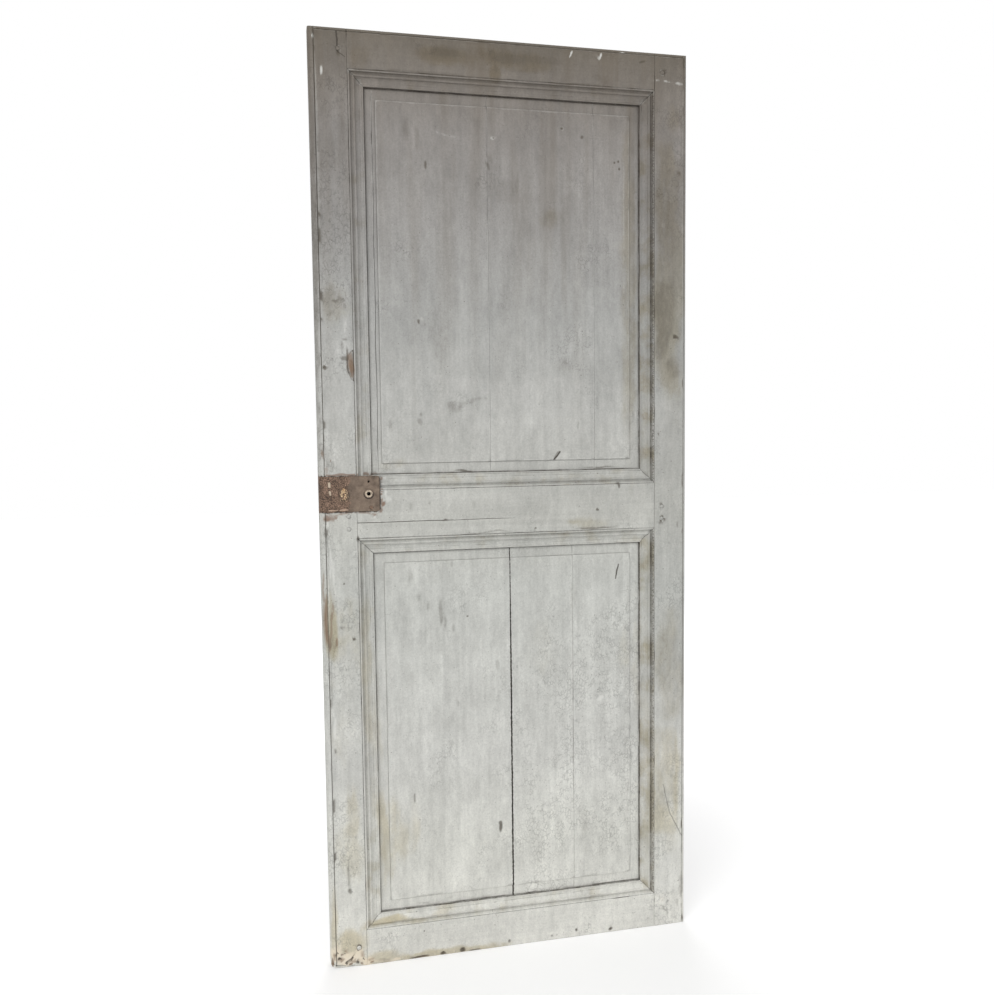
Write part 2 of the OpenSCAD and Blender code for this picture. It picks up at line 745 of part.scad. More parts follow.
module latch_bolt() {
    flat = bolt_d[0] + latch_nose[1];
    color("darkgray") difference() {
        union() {
            lock_block(head_x, head_x + head_l, bolt_d[0], bolt_d[1], latch_head[0], latch_head[1]);
            lock_block(head_x + head_l - cut, fork_x + fork_out, tail_d[0], tail_d[1],
                latch_tail[0], latch_tail[1]);
            lock_block(fork_x - fork_out, fork_x + fork_out, tail_d[0], tail_d[1],
                latch_tail[0], fork_top);
        }
        lock_block(fork_x - fork_in, fork_x + fork_in, tail_d[0] - cut, tail_d[1] + cut,
            latch_tail[1], fork_top + cut);
        pillar_slot(latch_pillar, latch_throw);
        // slope of the nose, on the side that meets the keep
        translate([0, 0, lock_at(latch_head[0] - cut)])
            linear_extrude(latch_head[1] - latch_head[0] + 2 * cut)
            translate([edge_x(head_x), front]) polygon([[-cut, flat], [0, flat],
                [latch_nose[0], bolt_d[1]], [latch_nose[0], bolt_d[1] + cut],
                [-cut, bolt_d[1] + cut]]);
    }
}

// thrown by the key's bit, which turns in the notch under its tail
module dead_bolt() {
    tail_l = dead_pillar[0] + dead_throw + 3 * pillar_r;
    color("gray") difference() {
        union() {
            lock_block(head_x, head_x + head_l, bolt_d[0], bolt_d[1], dead_head[0], dead_head[1]);
            lock_block(head_x + head_l - cut, tail_l, tail_d[0], tail_d[1],
                dead_tail[0], dead_tail[1]);
        }
        pillar_slot(dead_pillar, dead_throw);
        lock_block(key_x - key_notch[0], key_x + key_notch[0], tail_d[0] - cut, tail_d[1] + cut,
            dead_tail[0] - cut, dead_tail[0] + key_notch[1]);
    }
}

// a leaf spring from its outline, given from the lock edge and the lock's centre line
module leaf_spring(points) {
    color("dimgray") translate([0, front + tail_d[1] + cut, 0]) rotate([90, 0, 0])
        linear_extrude(tail_d[1] - tail_d[0] + 2 * cut)
        translate([edge_x(0), lock_z]) polygon(points);
}

// leaf that presses on the dead bolt's tail to hold it where it is
module bolt_spring() {
    top = case_half - case_t;
    low = dead_tail[1] + slide_gap;
    root = bolt_spring_root;
    leaf_spring(concat([[root[1], top], [root[1], top - 1], [root[0] + 0.5, top - 1]],
        [for (p = bolt_spring_low) [p[0], low + p[1]]], [[root[0], top]]));
}

// what is left of the latch's leaf spring, snapped off short
module latch_spring() {
    leaf_spring([for (p = latch_spring_stub) [p[0], case_t - case_half + p[1]]]);
}

// fixed oval plate round the keyhole
module key_escutcheon() {
    r = escutcheon_r;
    d0 = -plate_t - escutcheon_t;
    color("goldenrod") difference() {
        union() {
            for (b = escutcheon_z) lock_rod(key_x, b, d0, -plate_t, r);
            lock_block(key_x - r, key_x + r, d0, -plate_t, escutcheon_z[0], escutcheon_z[1]);
        }
        key_shape(d0 - cut, -plate_t + cut);
        lock_rod(key_x, drop_pivot_z, d0 - cut, -plate_t + cut, rivet_r + pin_gap);
    }
}

// drop that hangs over the keyhole and swings aside for the key
module key_cover() {
    d1 = -plate_t - escutcheon_t - slide_gap;
    fall = drop_pivot_z - drop_low_z;
    lean = asin((drop_r[1] - drop_r[0]) / fall);
    color("gold") difference() {
        union() {
            lock_rod(key_x, drop_pivot_z, d1 - drop_t, d1, drop_r[0]);
            lock_rod(key_x, drop_low_z, d1 - drop_t, d1, drop_r[1]);
            face_plate(d1 - drop_t, d1) translate([edge_x(key_x), lock_z]) polygon([
                for (s = [-1, 1], i = [0, 1])
                    let (k = s < 0 ? i : 1 - i, c = [drop_pivot_z, drop_low_z][k])
                    [s * drop_r[k] * cos(lean), c + drop_r[k] * sin(lean)]]);
        }
        lock_rod(key_x, drop_pivot_z, d1 - drop_t - cut, d1 + cut, rivet_r + pin_gap);
    }
}

module key_cover_rivet() {
    d1 = -plate_t - escutcheon_t - drop_t - 2 * slide_gap;
    color("khaki") {
        lock_rod(key_x, drop_pivot_z, d1 - rivet_head[1], d1, rivet_head[0]);
        lock_rod(key_x, drop_pivot_z, d1 - 0.5, 0, rivet_r);
    }
}

lock_stile();
hinge_stile();
top_rail();
lock_rail();
bottom_rail();
upper_board_1();
upper_board_2();
upper_board_3();
lower_board_1();
lower_board_2();
lower_board_3();
upper_mould_bottom();
upper_mould_hinge();
upper_mould_top();
upper_mould_lock();
lower_mould_bottom();
lower_mould_hinge();
lower_mould_top();
lower_mould_lock();
top_rail_pegs();
lock_rail_pegs();
bottom_rail_pegs();
upper_mould_pins();
lower_mould_pins();
lock_plate();
lock_rim();
lock_cover();
lock_pillars();
lock_screws();
follower();
latch_bolt();
dead_bolt();
bolt_spring();
latch_spring();
key_escutcheon();
key_cover();
key_cover_rivet();
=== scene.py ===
import math

import bmesh
import bpy
from mathutils import Euler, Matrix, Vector, noise


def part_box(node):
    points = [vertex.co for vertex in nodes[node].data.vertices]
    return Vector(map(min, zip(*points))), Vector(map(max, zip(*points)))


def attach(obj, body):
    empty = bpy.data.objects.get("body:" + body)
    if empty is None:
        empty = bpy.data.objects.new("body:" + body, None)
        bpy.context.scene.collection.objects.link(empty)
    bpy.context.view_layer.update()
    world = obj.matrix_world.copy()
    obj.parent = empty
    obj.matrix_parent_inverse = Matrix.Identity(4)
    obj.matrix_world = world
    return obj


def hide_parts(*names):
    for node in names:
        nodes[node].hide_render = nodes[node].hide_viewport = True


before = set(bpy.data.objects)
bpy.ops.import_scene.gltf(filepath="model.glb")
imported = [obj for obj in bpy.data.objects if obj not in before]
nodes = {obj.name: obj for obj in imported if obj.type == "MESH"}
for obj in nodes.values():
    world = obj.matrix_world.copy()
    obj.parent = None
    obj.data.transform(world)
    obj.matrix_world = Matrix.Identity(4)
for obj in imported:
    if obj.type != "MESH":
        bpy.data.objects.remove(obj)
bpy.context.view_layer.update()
scene = bpy.context.scene
scene.view_settings.view_transform = "Standard"
print("frame loaded:", len(nodes), "nodes")

markSeed = 5
noise.seed_set(markSeed)  # else the warp of the marks is new in each run

millimetre = 0.001
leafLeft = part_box("lock_stile")[0].x
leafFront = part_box("lock_stile")[0].y
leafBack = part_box("lock_stile")[1].y
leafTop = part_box("lock_stile")[1].z
scratchDepth = (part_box("upper_board_2")[0].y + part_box("upper_board_2")[1].y) / 2


def linear(red, green, blue):
    # screen colour 0 to 255 into the renderer's linear values
    parts = []
    for value in (red, green, blue):
        value = value / 255.0
        parts.append(value / 12.92 if value <= 0.04045 else ((value + 0.055) / 1.055) ** 2.4)
    return (*parts, 1.0)


def fill(tree, made, values):
    # sets the inputs of a node, as numbers or links
    for key, value in values.items():
        if isinstance(value, bpy.types.NodeSocket):
            tree.links.new(value, made.inputs[key])
        else:
            made.inputs[key].default_value = value
    return made


def put(tree, kind, values=None, **settings):
    # adds a node, sets its options, then its inputs
    made = tree.nodes.new("ShaderNode" + kind)
    for key, value in settings.items():
        setattr(made, key, value)
    return fill(tree, made, values or {})


def calc(tree, operation, first, second=0.0, third=0.0, clamp=False):
    return put(tree, "Math", {0: first, 1: second, 2: third}, operation=operation,
               use_clamp=clamp).outputs[0]


def times(tree, first, second, **settings):
    return calc(tree, "MULTIPLY", first, second, **settings)


def less(tree, first, second, **settings):
    return calc(tree, "SUBTRACT", first, second, **settings)


def larger(tree, first, second):
    return calc(tree, "MAXIMUM", first, second)


def scaled(tree, value, factor, start, **settings):
    return calc(tree, "MULTIPLY_ADD", value, factor, start, **settings)


def apart(tree, first, second):
    return calc(tree, "ABSOLUTE", less(tree, first, second))


def axisOf(tree, place, axis):
    return put(tree, "SeparateXYZ", {0: place}).outputs[axis]


def vectors(tree, operation, first, second):
    return put(tree, "VectorMath", {0: first, 1: second}, operation=operation).outputs[0]


def measure(tree, operation, *values):
    return put(tree, "VectorMath", dict(enumerate(values)),
               operation=operation).outputs["Value"]


def resized(tree, vector, factor):
    return put(tree, "VectorMath", {0: vector, "Scale": factor}, operation="SCALE").outputs[0]


def noiseNode(tree, place, scale, detail, rough=0.5):
    return put(tree, "TexNoise", {"Vector": place, "Scale": scale, "Detail": detail,
                                  "Roughness": rough}).outputs


def noiseAt(*values):
    return noiseNode(*values)[0]


def noiseVector(*values):
    return noiseNode(*values)[1]


def blendColour(tree, amount, low, high, mode="MIX"):
    return put(tree, "Mix", {0: amount, 6: low, 7: high}, data_type="RGBA",
               blend_type=mode, clamp_factor=True).outputs[2]


def ramp(tree, factor, stops):
    made = put(tree, "ValToRGB", {0: factor})
    colours = made.color_ramp
    for place, colour in stops[1:-1]:
        colours.elements.new(place)
    for element, (place, colour) in zip(colours.elements, stops):
        element.position = place
        element.color = colour
    return made.outputs[0]


def band(tree, value, low, high, first=0.0, last=1.0):
    # first to last, softly, as value goes from low to high
    return put(tree, "MapRange", {0: value, 1: low, 2: high, 3: first, 4: last},
               interpolation_type="SMOOTHSTEP").outputs[0]


def fade(tree, value, low, high):
    return band(tree, value, low, high, 1.0, 0.0)


def newGroup(name, takes, gives):
    # an input holds a number, a vector, or None for a vector that always comes in
    group = bpy.data.node_groups.new(name, "ShaderNodeTree")
    for label, value in takes.items():
        kind = "NodeSocketFloat" if isinstance(value, float) else "NodeSocketVector"
        socket = group.interface.new_socket(label, in_out="INPUT", socket_type=kind)
        if value is not None:
            socket.default_value = value
    for label in gives:
        kind = "NodeSocketColor" if label == "Color" else "NodeSocketFloat"
        group.interface.new_socket(label, in_out="OUTPUT", socket_type=kind)
    return group, group.nodes.new("NodeGroupInput").outputs, group.nodes.new("NodeGroupOutput")


def useGroup(tree, group, values):
    return put(tree, "Group", values, node_tree=group).outputs


def newMaterial(name):
    material = bpy.data.materials.new(name)
    material.use_nodes = True
    tree = material.node_tree
    tree.nodes.clear()
    shader = put(tree, "BsdfPrincipled")
    tree.links.new(shader.outputs[0], put(tree, "OutputMaterial").inputs[0])
    place = put(tree, "TexCoord").outputs["Object"]
    return material, tree, shader, place


def bump(tree, shader, height):
    # heights are in metres
    made = put(tree, "Bump", {"Height": height, "Strength": 1.0, "Distance": 1.0})
    tree.links.new(made.outputs[0], shader.inputs["Normal"])


def makeGrain():
    # streaks that run the way the stretch is smallest
    group, take, give = newGroup("woodGrain", {"Position": None, "Stretch": (90.0, 90.0, 3.0)},
                                 ["Streaks"])
    stretched = vectors(group, "MULTIPLY", take["Position"], take["Stretch"])
    streaks = noiseAt(group, stretched, 1.0, 5.0, 0.6)
    fill(group, give, {"Streaks": streaks})
    return group


def makeCrackle():
    # fine net of cracks in old paint, in patches
    group, take, give = newGroup("paintCrackle", {"Position": None, "Cell": 0.0065,
                                                  "Patches": 0.5}, ["Lines", "Cells"])
    warp = noiseVector(group, take["Position"], 140.0, 2.0)
    warp = resized(group, warp, 0.005)
    moved = vectors(group, "ADD", take["Position"], warp)
    moved = vectors(group, "MULTIPLY", moved, (1.0, 1.0, 0.62))
    scale = calc(group, "DIVIDE", 1.0, take["Cell"])
    edges = put(group, "TexVoronoi", {"Vector": moved, "Scale": scale},
                feature="DISTANCE_TO_EDGE").outputs["Distance"]
    cells = put(group, "TexVoronoi", {"Vector": moved, "Scale": scale}).outputs["Color"]
    patch = noiseAt(group, take["Position"], 9.0, 3.0)
    low = less(group, 0.85, take["Patches"])
    patch = band(group, patch, low, calc(group, "ADD", low, 0.2))
    lines = times(group, fade(group, edges, 0.02, 0.12), patch)
    gaps = noiseAt(group, take["Position"], 75.0, 2.0)
    lines = times(group, lines, band(group, gaps, 0.42, 0.56))
    fill(group, give, {"Lines": lines, "Cells": times(group, cells, patch)})
    return group


def makeRagged():
    # turns a soft mask into one with a torn, flaky edge
    group, take, give = newGroup("raggedEdge", {"Mask": 0.0, "Position": None, "Scale": 120.0,
                                                "Tear": 0.9, "Soft": 0.1}, ["Mask"])
    drawn = vectors(group, "MULTIPLY", take["Position"], (1.0, 1.0, 0.4))
    grain = noiseAt(group, drawn, take["Scale"], 5.0, 0.65)
    grain = times(group, less(group, grain, 0.5), take["Tear"])
    level = calc(group, "ADD", take["Mask"], grain)
    high = calc(group, "ADD", 0.5, take["Soft"])
    low = less(group, 0.5, take["Soft"])
    cut = band(group, level, low, high)
    present = band(group, take["Mask"], 0.02, 0.2)
    fill(group, give, {"Mask": times(group, cut, present)})
    return group


# where dirt gathers, in mm inwards from the edge of a panel's opening
panelSeams = {
    "rim": (0.2, 1.8),
    "rebate": (0.5, 2.2),     # on the back, against the frame
    "quirk": 7.2,
    "beads": (13.5, 24.5),
    "inner": (32.6, 33.8),
    "seam": (34.5, 37.0),     # boards against the mouldings
    "field": 57.4,            # edge of the raised field
}


def makePanelLines():
    # distance in mm from the edge of the panel's opening, and from its mitres
    upper = (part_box("upper_mould_top")[0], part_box("upper_mould_hinge")[1])
    lower = (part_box("lower_mould_top")[0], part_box("lower_mould_hinge")[1])
    upper[0].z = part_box("upper_mould_bottom")[0].z
    lower[0].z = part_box("lower_mould_bottom")[0].z
    group, take, give = newGroup("panelLines", {"Position": None}, ["Inset", "Mitre", "Side"])
    axes = put(group, "SeparateXYZ", {0: take["Position"]}).outputs
    x, z = axes[0], axes[2]
    isUpper = calc(group, "GREATER_THAN", z, (lower[1].z + upper[0].z) / 2)
    bottom = scaled(group, isUpper, upper[0].z - lower[0].z, lower[0].z)
    top = scaled(group, isUpper, upper[1].z - lower[1].z, lower[1].z)
    fromLock = less(group, x, upper[0].x)
    fromHinge = less(group, upper[1].x, x)
    beside = calc(group, "MINIMUM", fromLock, fromHinge)
    between = calc(group, "MINIMUM", less(group, z, bottom), less(group, top, z))
    inset = times(group, calc(group, "MINIMUM", beside, between), 1000.0)
    mitre = apart(group, beside, between)
    fill(group, give, {"Inset": inset, "Mitre": times(group, mitre, 1000.0),
                       "Side": calc(group, "LESS_THAN", fromHinge, between)})
    return group


def makeScratch():
    # a thin straight mark between two points of the front, given in metres
    group, take, give = newGroup("scratchMark", {"Position": None, "Start": None, "End": None,
                                                 "Width": 0.001}, ["Mask"])
    flat = vectors(group, "MULTIPLY", take["Position"], (1.0, 0.0, 1.0))
    wobble = noiseVector(group, flat, 60.0, 3.0)
    wobble = vectors(group, "SUBTRACT", wobble, (0.5, 0.5, 0.5))
    wobble = resized(group, wobble, 0.006)
    flat = vectors(group, "ADD", flat, wobble)
    way = vectors(group, "SUBTRACT", take["End"], take["Start"])
    off = vectors(group, "SUBTRACT", flat, take["Start"])
    long = measure(group, "DOT_PRODUCT", way, way)
    along = measure(group, "DOT_PRODUCT", off, way)
    share = calc(group, "DIVIDE", along, long, clamp=True)
    near = resized(group, way, share)
    gap = measure(group, "DISTANCE", off, near)
    edge = times(group, take["Width"], 0.5)
    mask = put(group, "MapRange", {0: gap, 1: edge, 2: take["Width"], 3: 1.0, 4: 0.0})
    depth = axisOf(group, take["Position"], 1)
    mask = times(group, mask.outputs[0], calc(group, "LESS_THAN", depth, scratchDepth))
    fill(group, give, {"Mask": mask})
    return group


grainGroup = makeGrain()
crackleGroup = makeCrackle()
raggedGroup = makeRagged()
panelLinesGroup = makePanelLines()
scratchGroup = makeScratch()


def markLine(tree, place, start, end, width):
    ends = [Vector((leafLeft + a * millimetre, 0.0, u * millimetre)) for a, u in (start, end)]
    return useGroup(tree, scratchGroup, {"Position": place, "Start": ends[0], "End": ends[1],
                                         "Width": width * millimetre})["Mask"]


paintLook = {
    # colour of the paint by height above the bottom edge, in metres; darker towards the top,
    # partly dirt and partly painted shade of the less lit top
    "tones": [(0.0, (222, 221, 214)), (0.25, (213, 213, 206)), (0.45, (204, 204, 199)),
              (0.85, (192, 193, 188)), (1.0, (188, 188, 182)), (1.25, (181, 181, 177)),
              (1.45, (166, 166, 163)), (1.65, (151, 149, 146)), (1.85, (138, 134, 130)),
              (1.95, (125, 119, 112)), (2.05, (104, 97, 87))],
    "dirt": (84, 77, 67),
    "stain": (218, 205, 172),
    "rust": (118, 86, 64),
    "pale": (226, 226, 221),
    "cream": (243, 229, 206),
    "bare": (164, 138, 116),
    "grimeAndShade": (96, 86, 72),
    "darkWood": (84, 70, 56),
    "line": (58, 52, 45),     # dirt in the joints, and painted shadow round the lock plate
}


def makePaint():
    # chalky old oil paint with its dirt, stains, flakes and bare wood
    group, take, give = newGroup("agedPaint", {
        "Position": None, "Stretch": (90.0, 90.0, 3.0), "Crackle": 0.35,
        "Dirt": 0.0, "Stain": 0.0, "Rust": 0.0, "Pale": 0.0, "Bare": 0.0, "Edge": 0.0,
        "Line": 0.0}, ["Color", "Roughness", "Height"])
    place = take["Position"]
    up = axisOf(group, place, 2)
    colour = ramp(group, calc(group, "DIVIDE", up, leafTop),
                  [(height / leafTop, linear(*tone)) for height, tone in paintLook["tones"]])
    grain = useGroup(group, grainGroup, {"Position": place, "Stretch": take["Stretch"]})
    crackle = useGroup(group, crackleGroup, {"Position": place, "Patches": take["Crackle"]})
    cloud = noiseAt(group, place, 7.0, 4.0)
    fleck = noiseAt(group, place, 250.0, 4.0, 0.75)
    slow = vectors(group, "MULTIPLY", place, (26.0, 26.0, 1.6))
    runs = noiseAt(group, slow, 1.0, 4.0)
    drawn = vectors(group, "MULTIPLY", place, (60.0, 60.0, 22.0))
    mottle = noiseAt(group, drawn, 1.0, 6.0, 0.7)
    # light and dark of the brushed, weathered film
    shade = scaled(group, grain["Streaks"], 0.30, 0.85)
    shade = times(group, shade, scaled(group, cloud, 0.46, 0.77))
    shade = times(group, shade, scaled(group, fleck, 0.56, 0.72))
    shade = times(group, shade, scaled(group, runs, 0.12, 0.94))
    shade = times(group, shade, scaled(group, mottle, 0.6, 0.7))
    shade = times(group, shade, scaled(group, crackle["Lines"], -0.26, 1.0))
    shade = times(group, shade, scaled(group, crackle["Cells"], 0.09, 0.98))
    colour = resized(group, colour, shade)
    # painted shade: the hinge side greyer and darker at mid height, the lock side near the top
    across = axisOf(group, place, 0)
    middle = times(group, band(group, up, 0.4, 0.7), fade(group, up, 1.7, 1.9))
    sideShade = times(group, band(group, across, 0.31, 0.36), middle)
    lockTopShade = times(group, fade(group, across, -0.36, -0.33), band(group, up, 1.4, 1.65))
    sideShade = scaled(group, lockTopShade, 0.7, sideShade)
    colour = resized(group, colour, scaled(group, sideShade, -0.16, 1.0))
    # brown film, thicker towards the top: dirt, and partly painted shade of the less lit top
    film = times(group, band(group, runs, 0.45, 0.75), band(group, up, 0.9, 2.1))
    film = times(group, film, 0.45)
    colour = blendColour(group, film, colour, linear(*paintLook["grimeAndShade"]))
    # dark specks of dirt
    speck = noiseAt(group, place, 260.0, 1.0)
    speck = times(group, band(group, speck, 0.73, 0.79), 0.6)
    colour = blendColour(group, speck, colour, linear(*paintLook["dirt"]))
    masks = {}
    for name, scale, tear, soft, most in (("Stain", 34.0, 1.7, 0.3, 0.75),
                                          ("Pale", 110.0, 1.3, 0.2, 1.0),
                                          ("Rust", 90.0, 1.0, 0.25, 0.85),
                                          ("Dirt", 110.0, 1.1, 0.3, 0.9),
                                          ("Bare", 150.0, 0.9, 0.08, 1.0)):
        torn = useGroup(group, raggedGroup, {"Mask": take[name], "Position": place,
                                             "Scale": scale, "Tear": tear, "Soft": soft})
        # a torn mark over a thin veil, both weaker for weak marks
        veil = times(group, take[name], take[name])
        veil = times(group, veil, scaled(group, grain["Streaks"], 0.5, 0.05))
        mark = times(group, torn["Mask"], times(group, take[name], 0.7))
        masks[name] = times(group, calc(group, "ADD", mark, veil), most, clamp=True)
    # pale along the convex arrises: worn paint, and partly a painted highlight on the arrises
    worn = useGroup(group, raggedGroup, {"Mask": take["Edge"], "Position": place,
                                         "Scale": 70.0, "Tear": 1.3, "Soft": 0.2})
    colour = blendColour(group, masks["Stain"], colour,
                         blendColour(group, 1.0, colour, linear(*paintLook["stain"]), "MULTIPLY"))
    flakes = blendColour(group, fade(group, up, 0.03, 0.09),
                         linear(*paintLook["pale"]), linear(*paintLook["cream"]))
    flaked = blendColour(group, 0.75, colour, flakes)
    colour = blendColour(group, masks["Pale"], colour, flaked)
    colour = blendColour(group, times(group, worn["Mask"], 0.14), colour,
                         linear(*paintLook["pale"]))
    wood = blendColour(group, grain["Streaks"], linear(*paintLook["darkWood"]),
                       linear(*paintLook["bare"]))
    colour = blendColour(group, masks["Bare"], colour, wood)
    colour = blendColour(group, masks["Rust"], colour, linear(*paintLook["rust"]))
    colour = blendColour(group, masks["Dirt"], colour, linear(*paintLook["dirt"]))
    colour = blendColour(group, times(group, take["Line"], 0.9), colour,
                         linear(*paintLook["line"]))
    rough = scaled(group, fleck, 0.2, 0.55)
    rough = scaled(group, masks["Dirt"], 0.15, rough)
    rough = scaled(group, masks["Bare"], 0.15, rough, clamp=True)
    height = times(group, grain["Streaks"], 0.0005)
    height = scaled(group, crackle["Lines"], -0.00018, height)
    height = scaled(group, fleck, 0.0002, height)
    height = scaled(group, masks["Bare"], -0.0004, height)
    height = scaled(group, masks["Pale"], -0.00012, height)
    fill(group, give, {"Color": colour, "Roughness": rough, "Height": height})
    return group


paintGroup = makePaint()


def marksOf(tree):
    return {kind.capitalize(): put(tree, "Attribute", attribute_name=kind).outputs["Fac"]
            for kind in (*leafMarks, "edge")}


def finishPaint(tree, shader, values):
    made = useGroup(tree, paintGroup, values)
    fill(tree, shader, {"Base Color": made["Color"], "Roughness": made["Roughness"],
                        "Specular IOR Level": 0.35})
    bump(tree, shader, made["Height"])


plateLook = {
    "lap": 0.004,     # m that the plate reaches over the rim of the lock
    "packed": (0.0005, 0.0028),  # m, dirt and painted shadow of the proud plate packed against it
    "washed": (0.001, 0.009),    # m, rust washed out of it
    "depth": 0.003,   # m behind the front
}


def paintedWood(name, stretch, crackle, scratches=()):
    # paint on the frame and the pegs
    material, tree, shader, place = newMaterial(name)
    values = marksOf(tree)
    for start, end, width, depth in scratches:
        mask = times(tree, markLine(tree, place, start, end, width), depth)
        values["Line"] = larger(tree, values.get("Line", 0.0), mask)
    # dark line against the lock plate, partly dirt and partly painted shadow of the proud plate,
    # and rust washed out of it
    low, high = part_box("lock_plate")
    rimLow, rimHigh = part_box("lock_rim")
    half = (rimHigh.z - rimLow.z) / 2 + plateLook["lap"]
    axes = put(tree, "SeparateXYZ", {0: place}).outputs
    beside = less(tree, axes[0], high.x)
    over = apart(tree, axes[2], (low.z + high.z) / 2)
    away = larger(tree, beside, less(tree, over, half))
    torn = noiseAt(tree, place, 110.0, 4.0)
    packed = fade(tree, away, *plateLook["packed"])
    packed = times(tree, packed, band(tree, torn, 0.36, 0.54))
    washed = fade(tree, away, *plateLook["washed"])
    washed = times(tree, washed, band(tree, torn, 0.4, 0.62))
    atPlate = calc(tree, "LESS_THAN", axes[1], leafFront + plateLook["depth"])
    packed = times(tree, packed, atPlate)
    washed = times(tree, washed, times(tree, atPlate, 0.75))
    values["Line"] = larger(tree, values.get("Line", 0.0), packed)
    values["Rust"] = larger(tree, values["Rust"], washed)
    values.update({"Position": place, "Stretch": stretch, "Crackle": crackle})
    finishPaint(tree, shader, values)
    return material


# metres: where the open joint runs beside the board's edge, its half width and how much
# wider it gets between two heights
jointLook = {"beside": 0.0008, "half": 0.0009, "wider": 0.0008, "heights": (0.62, 0.9)}


def panelPaint():
    # boards: fine dirt lines along the moulding and round the raised field
    material, tree, shader, place = newMaterial("panelPaint")
    values = marksOf(tree)
    lines = useGroup(tree, panelLinesGroup, {"Position": place})
    breaks = noiseAt(tree, place, 14.0, 4.0)
    fine = noiseAt(tree, place, 160.0, 2.0)
    seam = fade(tree, lines["Inset"], *panelSeams["seam"])
    seam = times(tree, seam, band(tree, breaks, 0.3, 0.55))
    field = fade(tree, apart(tree, lines["Inset"], panelSeams["field"]), 0.3, 1.1)
    field = times(tree, field, scaled(tree, breaks, 0.5, 0.1))
    axes = put(tree, "SeparateXYZ", {0: place}).outputs
    front = calc(tree, "LESS_THAN", axes[1], scratchDepth)
    line = times(tree, larger(tree, seam, field), front)
    rebate = less(tree, fade(tree, lines["Inset"], *panelSeams["rebate"]), front,
                  clamp=True)
    line = larger(tree, line, rebate)
    line = times(tree, line, scaled(tree, fine, 0.7, 0.55), clamp=True)
    for start, end, width in panelNicks:
        line = larger(tree, line, markLine(tree, place, start, end, width))
    # the joint that has opened in the lower panel, widest in its lower half
    away = apart(tree, axes[0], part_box("lower_board_2")[0].x - jointLook["beside"])
    wide = fade(tree, axes[2], *jointLook["heights"])
    wide = scaled(tree, wide, jointLook["wider"], jointLook["half"])
    wide = times(tree, wide, scaled(tree, fine, 2.4, -0.1))
    split = calc(tree, "LESS_THAN", away, wide)
    split = times(tree, split, calc(tree, "LESS_THAN", axes[2], leafTop / 2))
    line = larger(tree, line, split)
    # crackle gathers in the lower right half
    patches = times(tree, band(tree, axes[0], -0.1, 0.1), fade(tree, axes[2], 0.7, 0.95))
    patches = scaled(tree, patches, 0.15, 0.34)
    values.update({"Position": place, "Stretch": (85.0, 85.0, 2.6), "Crackle": patches,
                   "Line": line})
    finishPaint(tree, shader, values)
    return material


def mouldPaint():
    # mouldings: dirt packed in the quirk, at the joints and in the mitres
    material, tree, shader, place = newMaterial("mouldPaint")
    values = marksOf(tree)
    lines = useGroup(tree, panelLinesGroup, {"Position": place})
    breaks = noiseAt(tree, place, 22.0, 4.0)
    beads = noiseAt(tree, place, 170.0, 2.0)
    inset = lines["Inset"]
    rim = fade(tree, inset, *panelSeams["rim"])
    quirk = fade(tree, apart(tree, inset, panelSeams["quirk"]), 1.2, 3.4)
    packed = scaled(tree, lines["Side"], 0.55, 0.45)
    quirk = times(tree, quirk, packed)
    inner = band(tree, inset, *panelSeams["inner"])
    line = larger(tree, larger(tree, rim, quirk), inner)
    line = times(tree, line, scaled(tree, breaks, 1.3, 0.1), clamp=True)
    line = times(tree, line, scaled(tree, beads, 1.1, 0.4), clamp=True)
    for inside in panelSeams["beads"]:
        faint = fade(tree, apart(tree, inset, inside), 0.3, 1.4)
        faint = times(tree, faint, band(tree, breaks, 0.35, 0.7))
        line = larger(tree, line, times(tree, faint, 0.4))
    crumbs = noiseAt(tree, place, 290.0, 2.0)
    crumbs = times(tree, band(tree, crumbs, 0.44, 0.56), lines["Side"])
    crumbs = times(tree, crumbs, fade(tree, inset, 3.5, 8.0))
    line = larger(tree, line, times(tree, crumbs, 0.7))
    veil = times(tree, lines["Side"], scaled(tree, breaks, 0.3, 0.0))
    line = larger(tree, line, veil)
    film = times(tree, band(tree, breaks, 0.4, 0.7), 0.55)
    film = scaled(tree, lines["Side"], 0.34, film)
    values["Stain"] = larger(tree, values["Stain"], film)
    mitre = times(tree, fade(tree, lines["Mitre"], 0.3, 1.0), 0.8)
    line = larger(tree, line, mitre)
    values.update({"Position": place, "Stretch": (70.0, 70.0, 4.0), "Crackle": 0.2,
                   "Line": line})
    finishPaint(tree, shader, values)
    return material
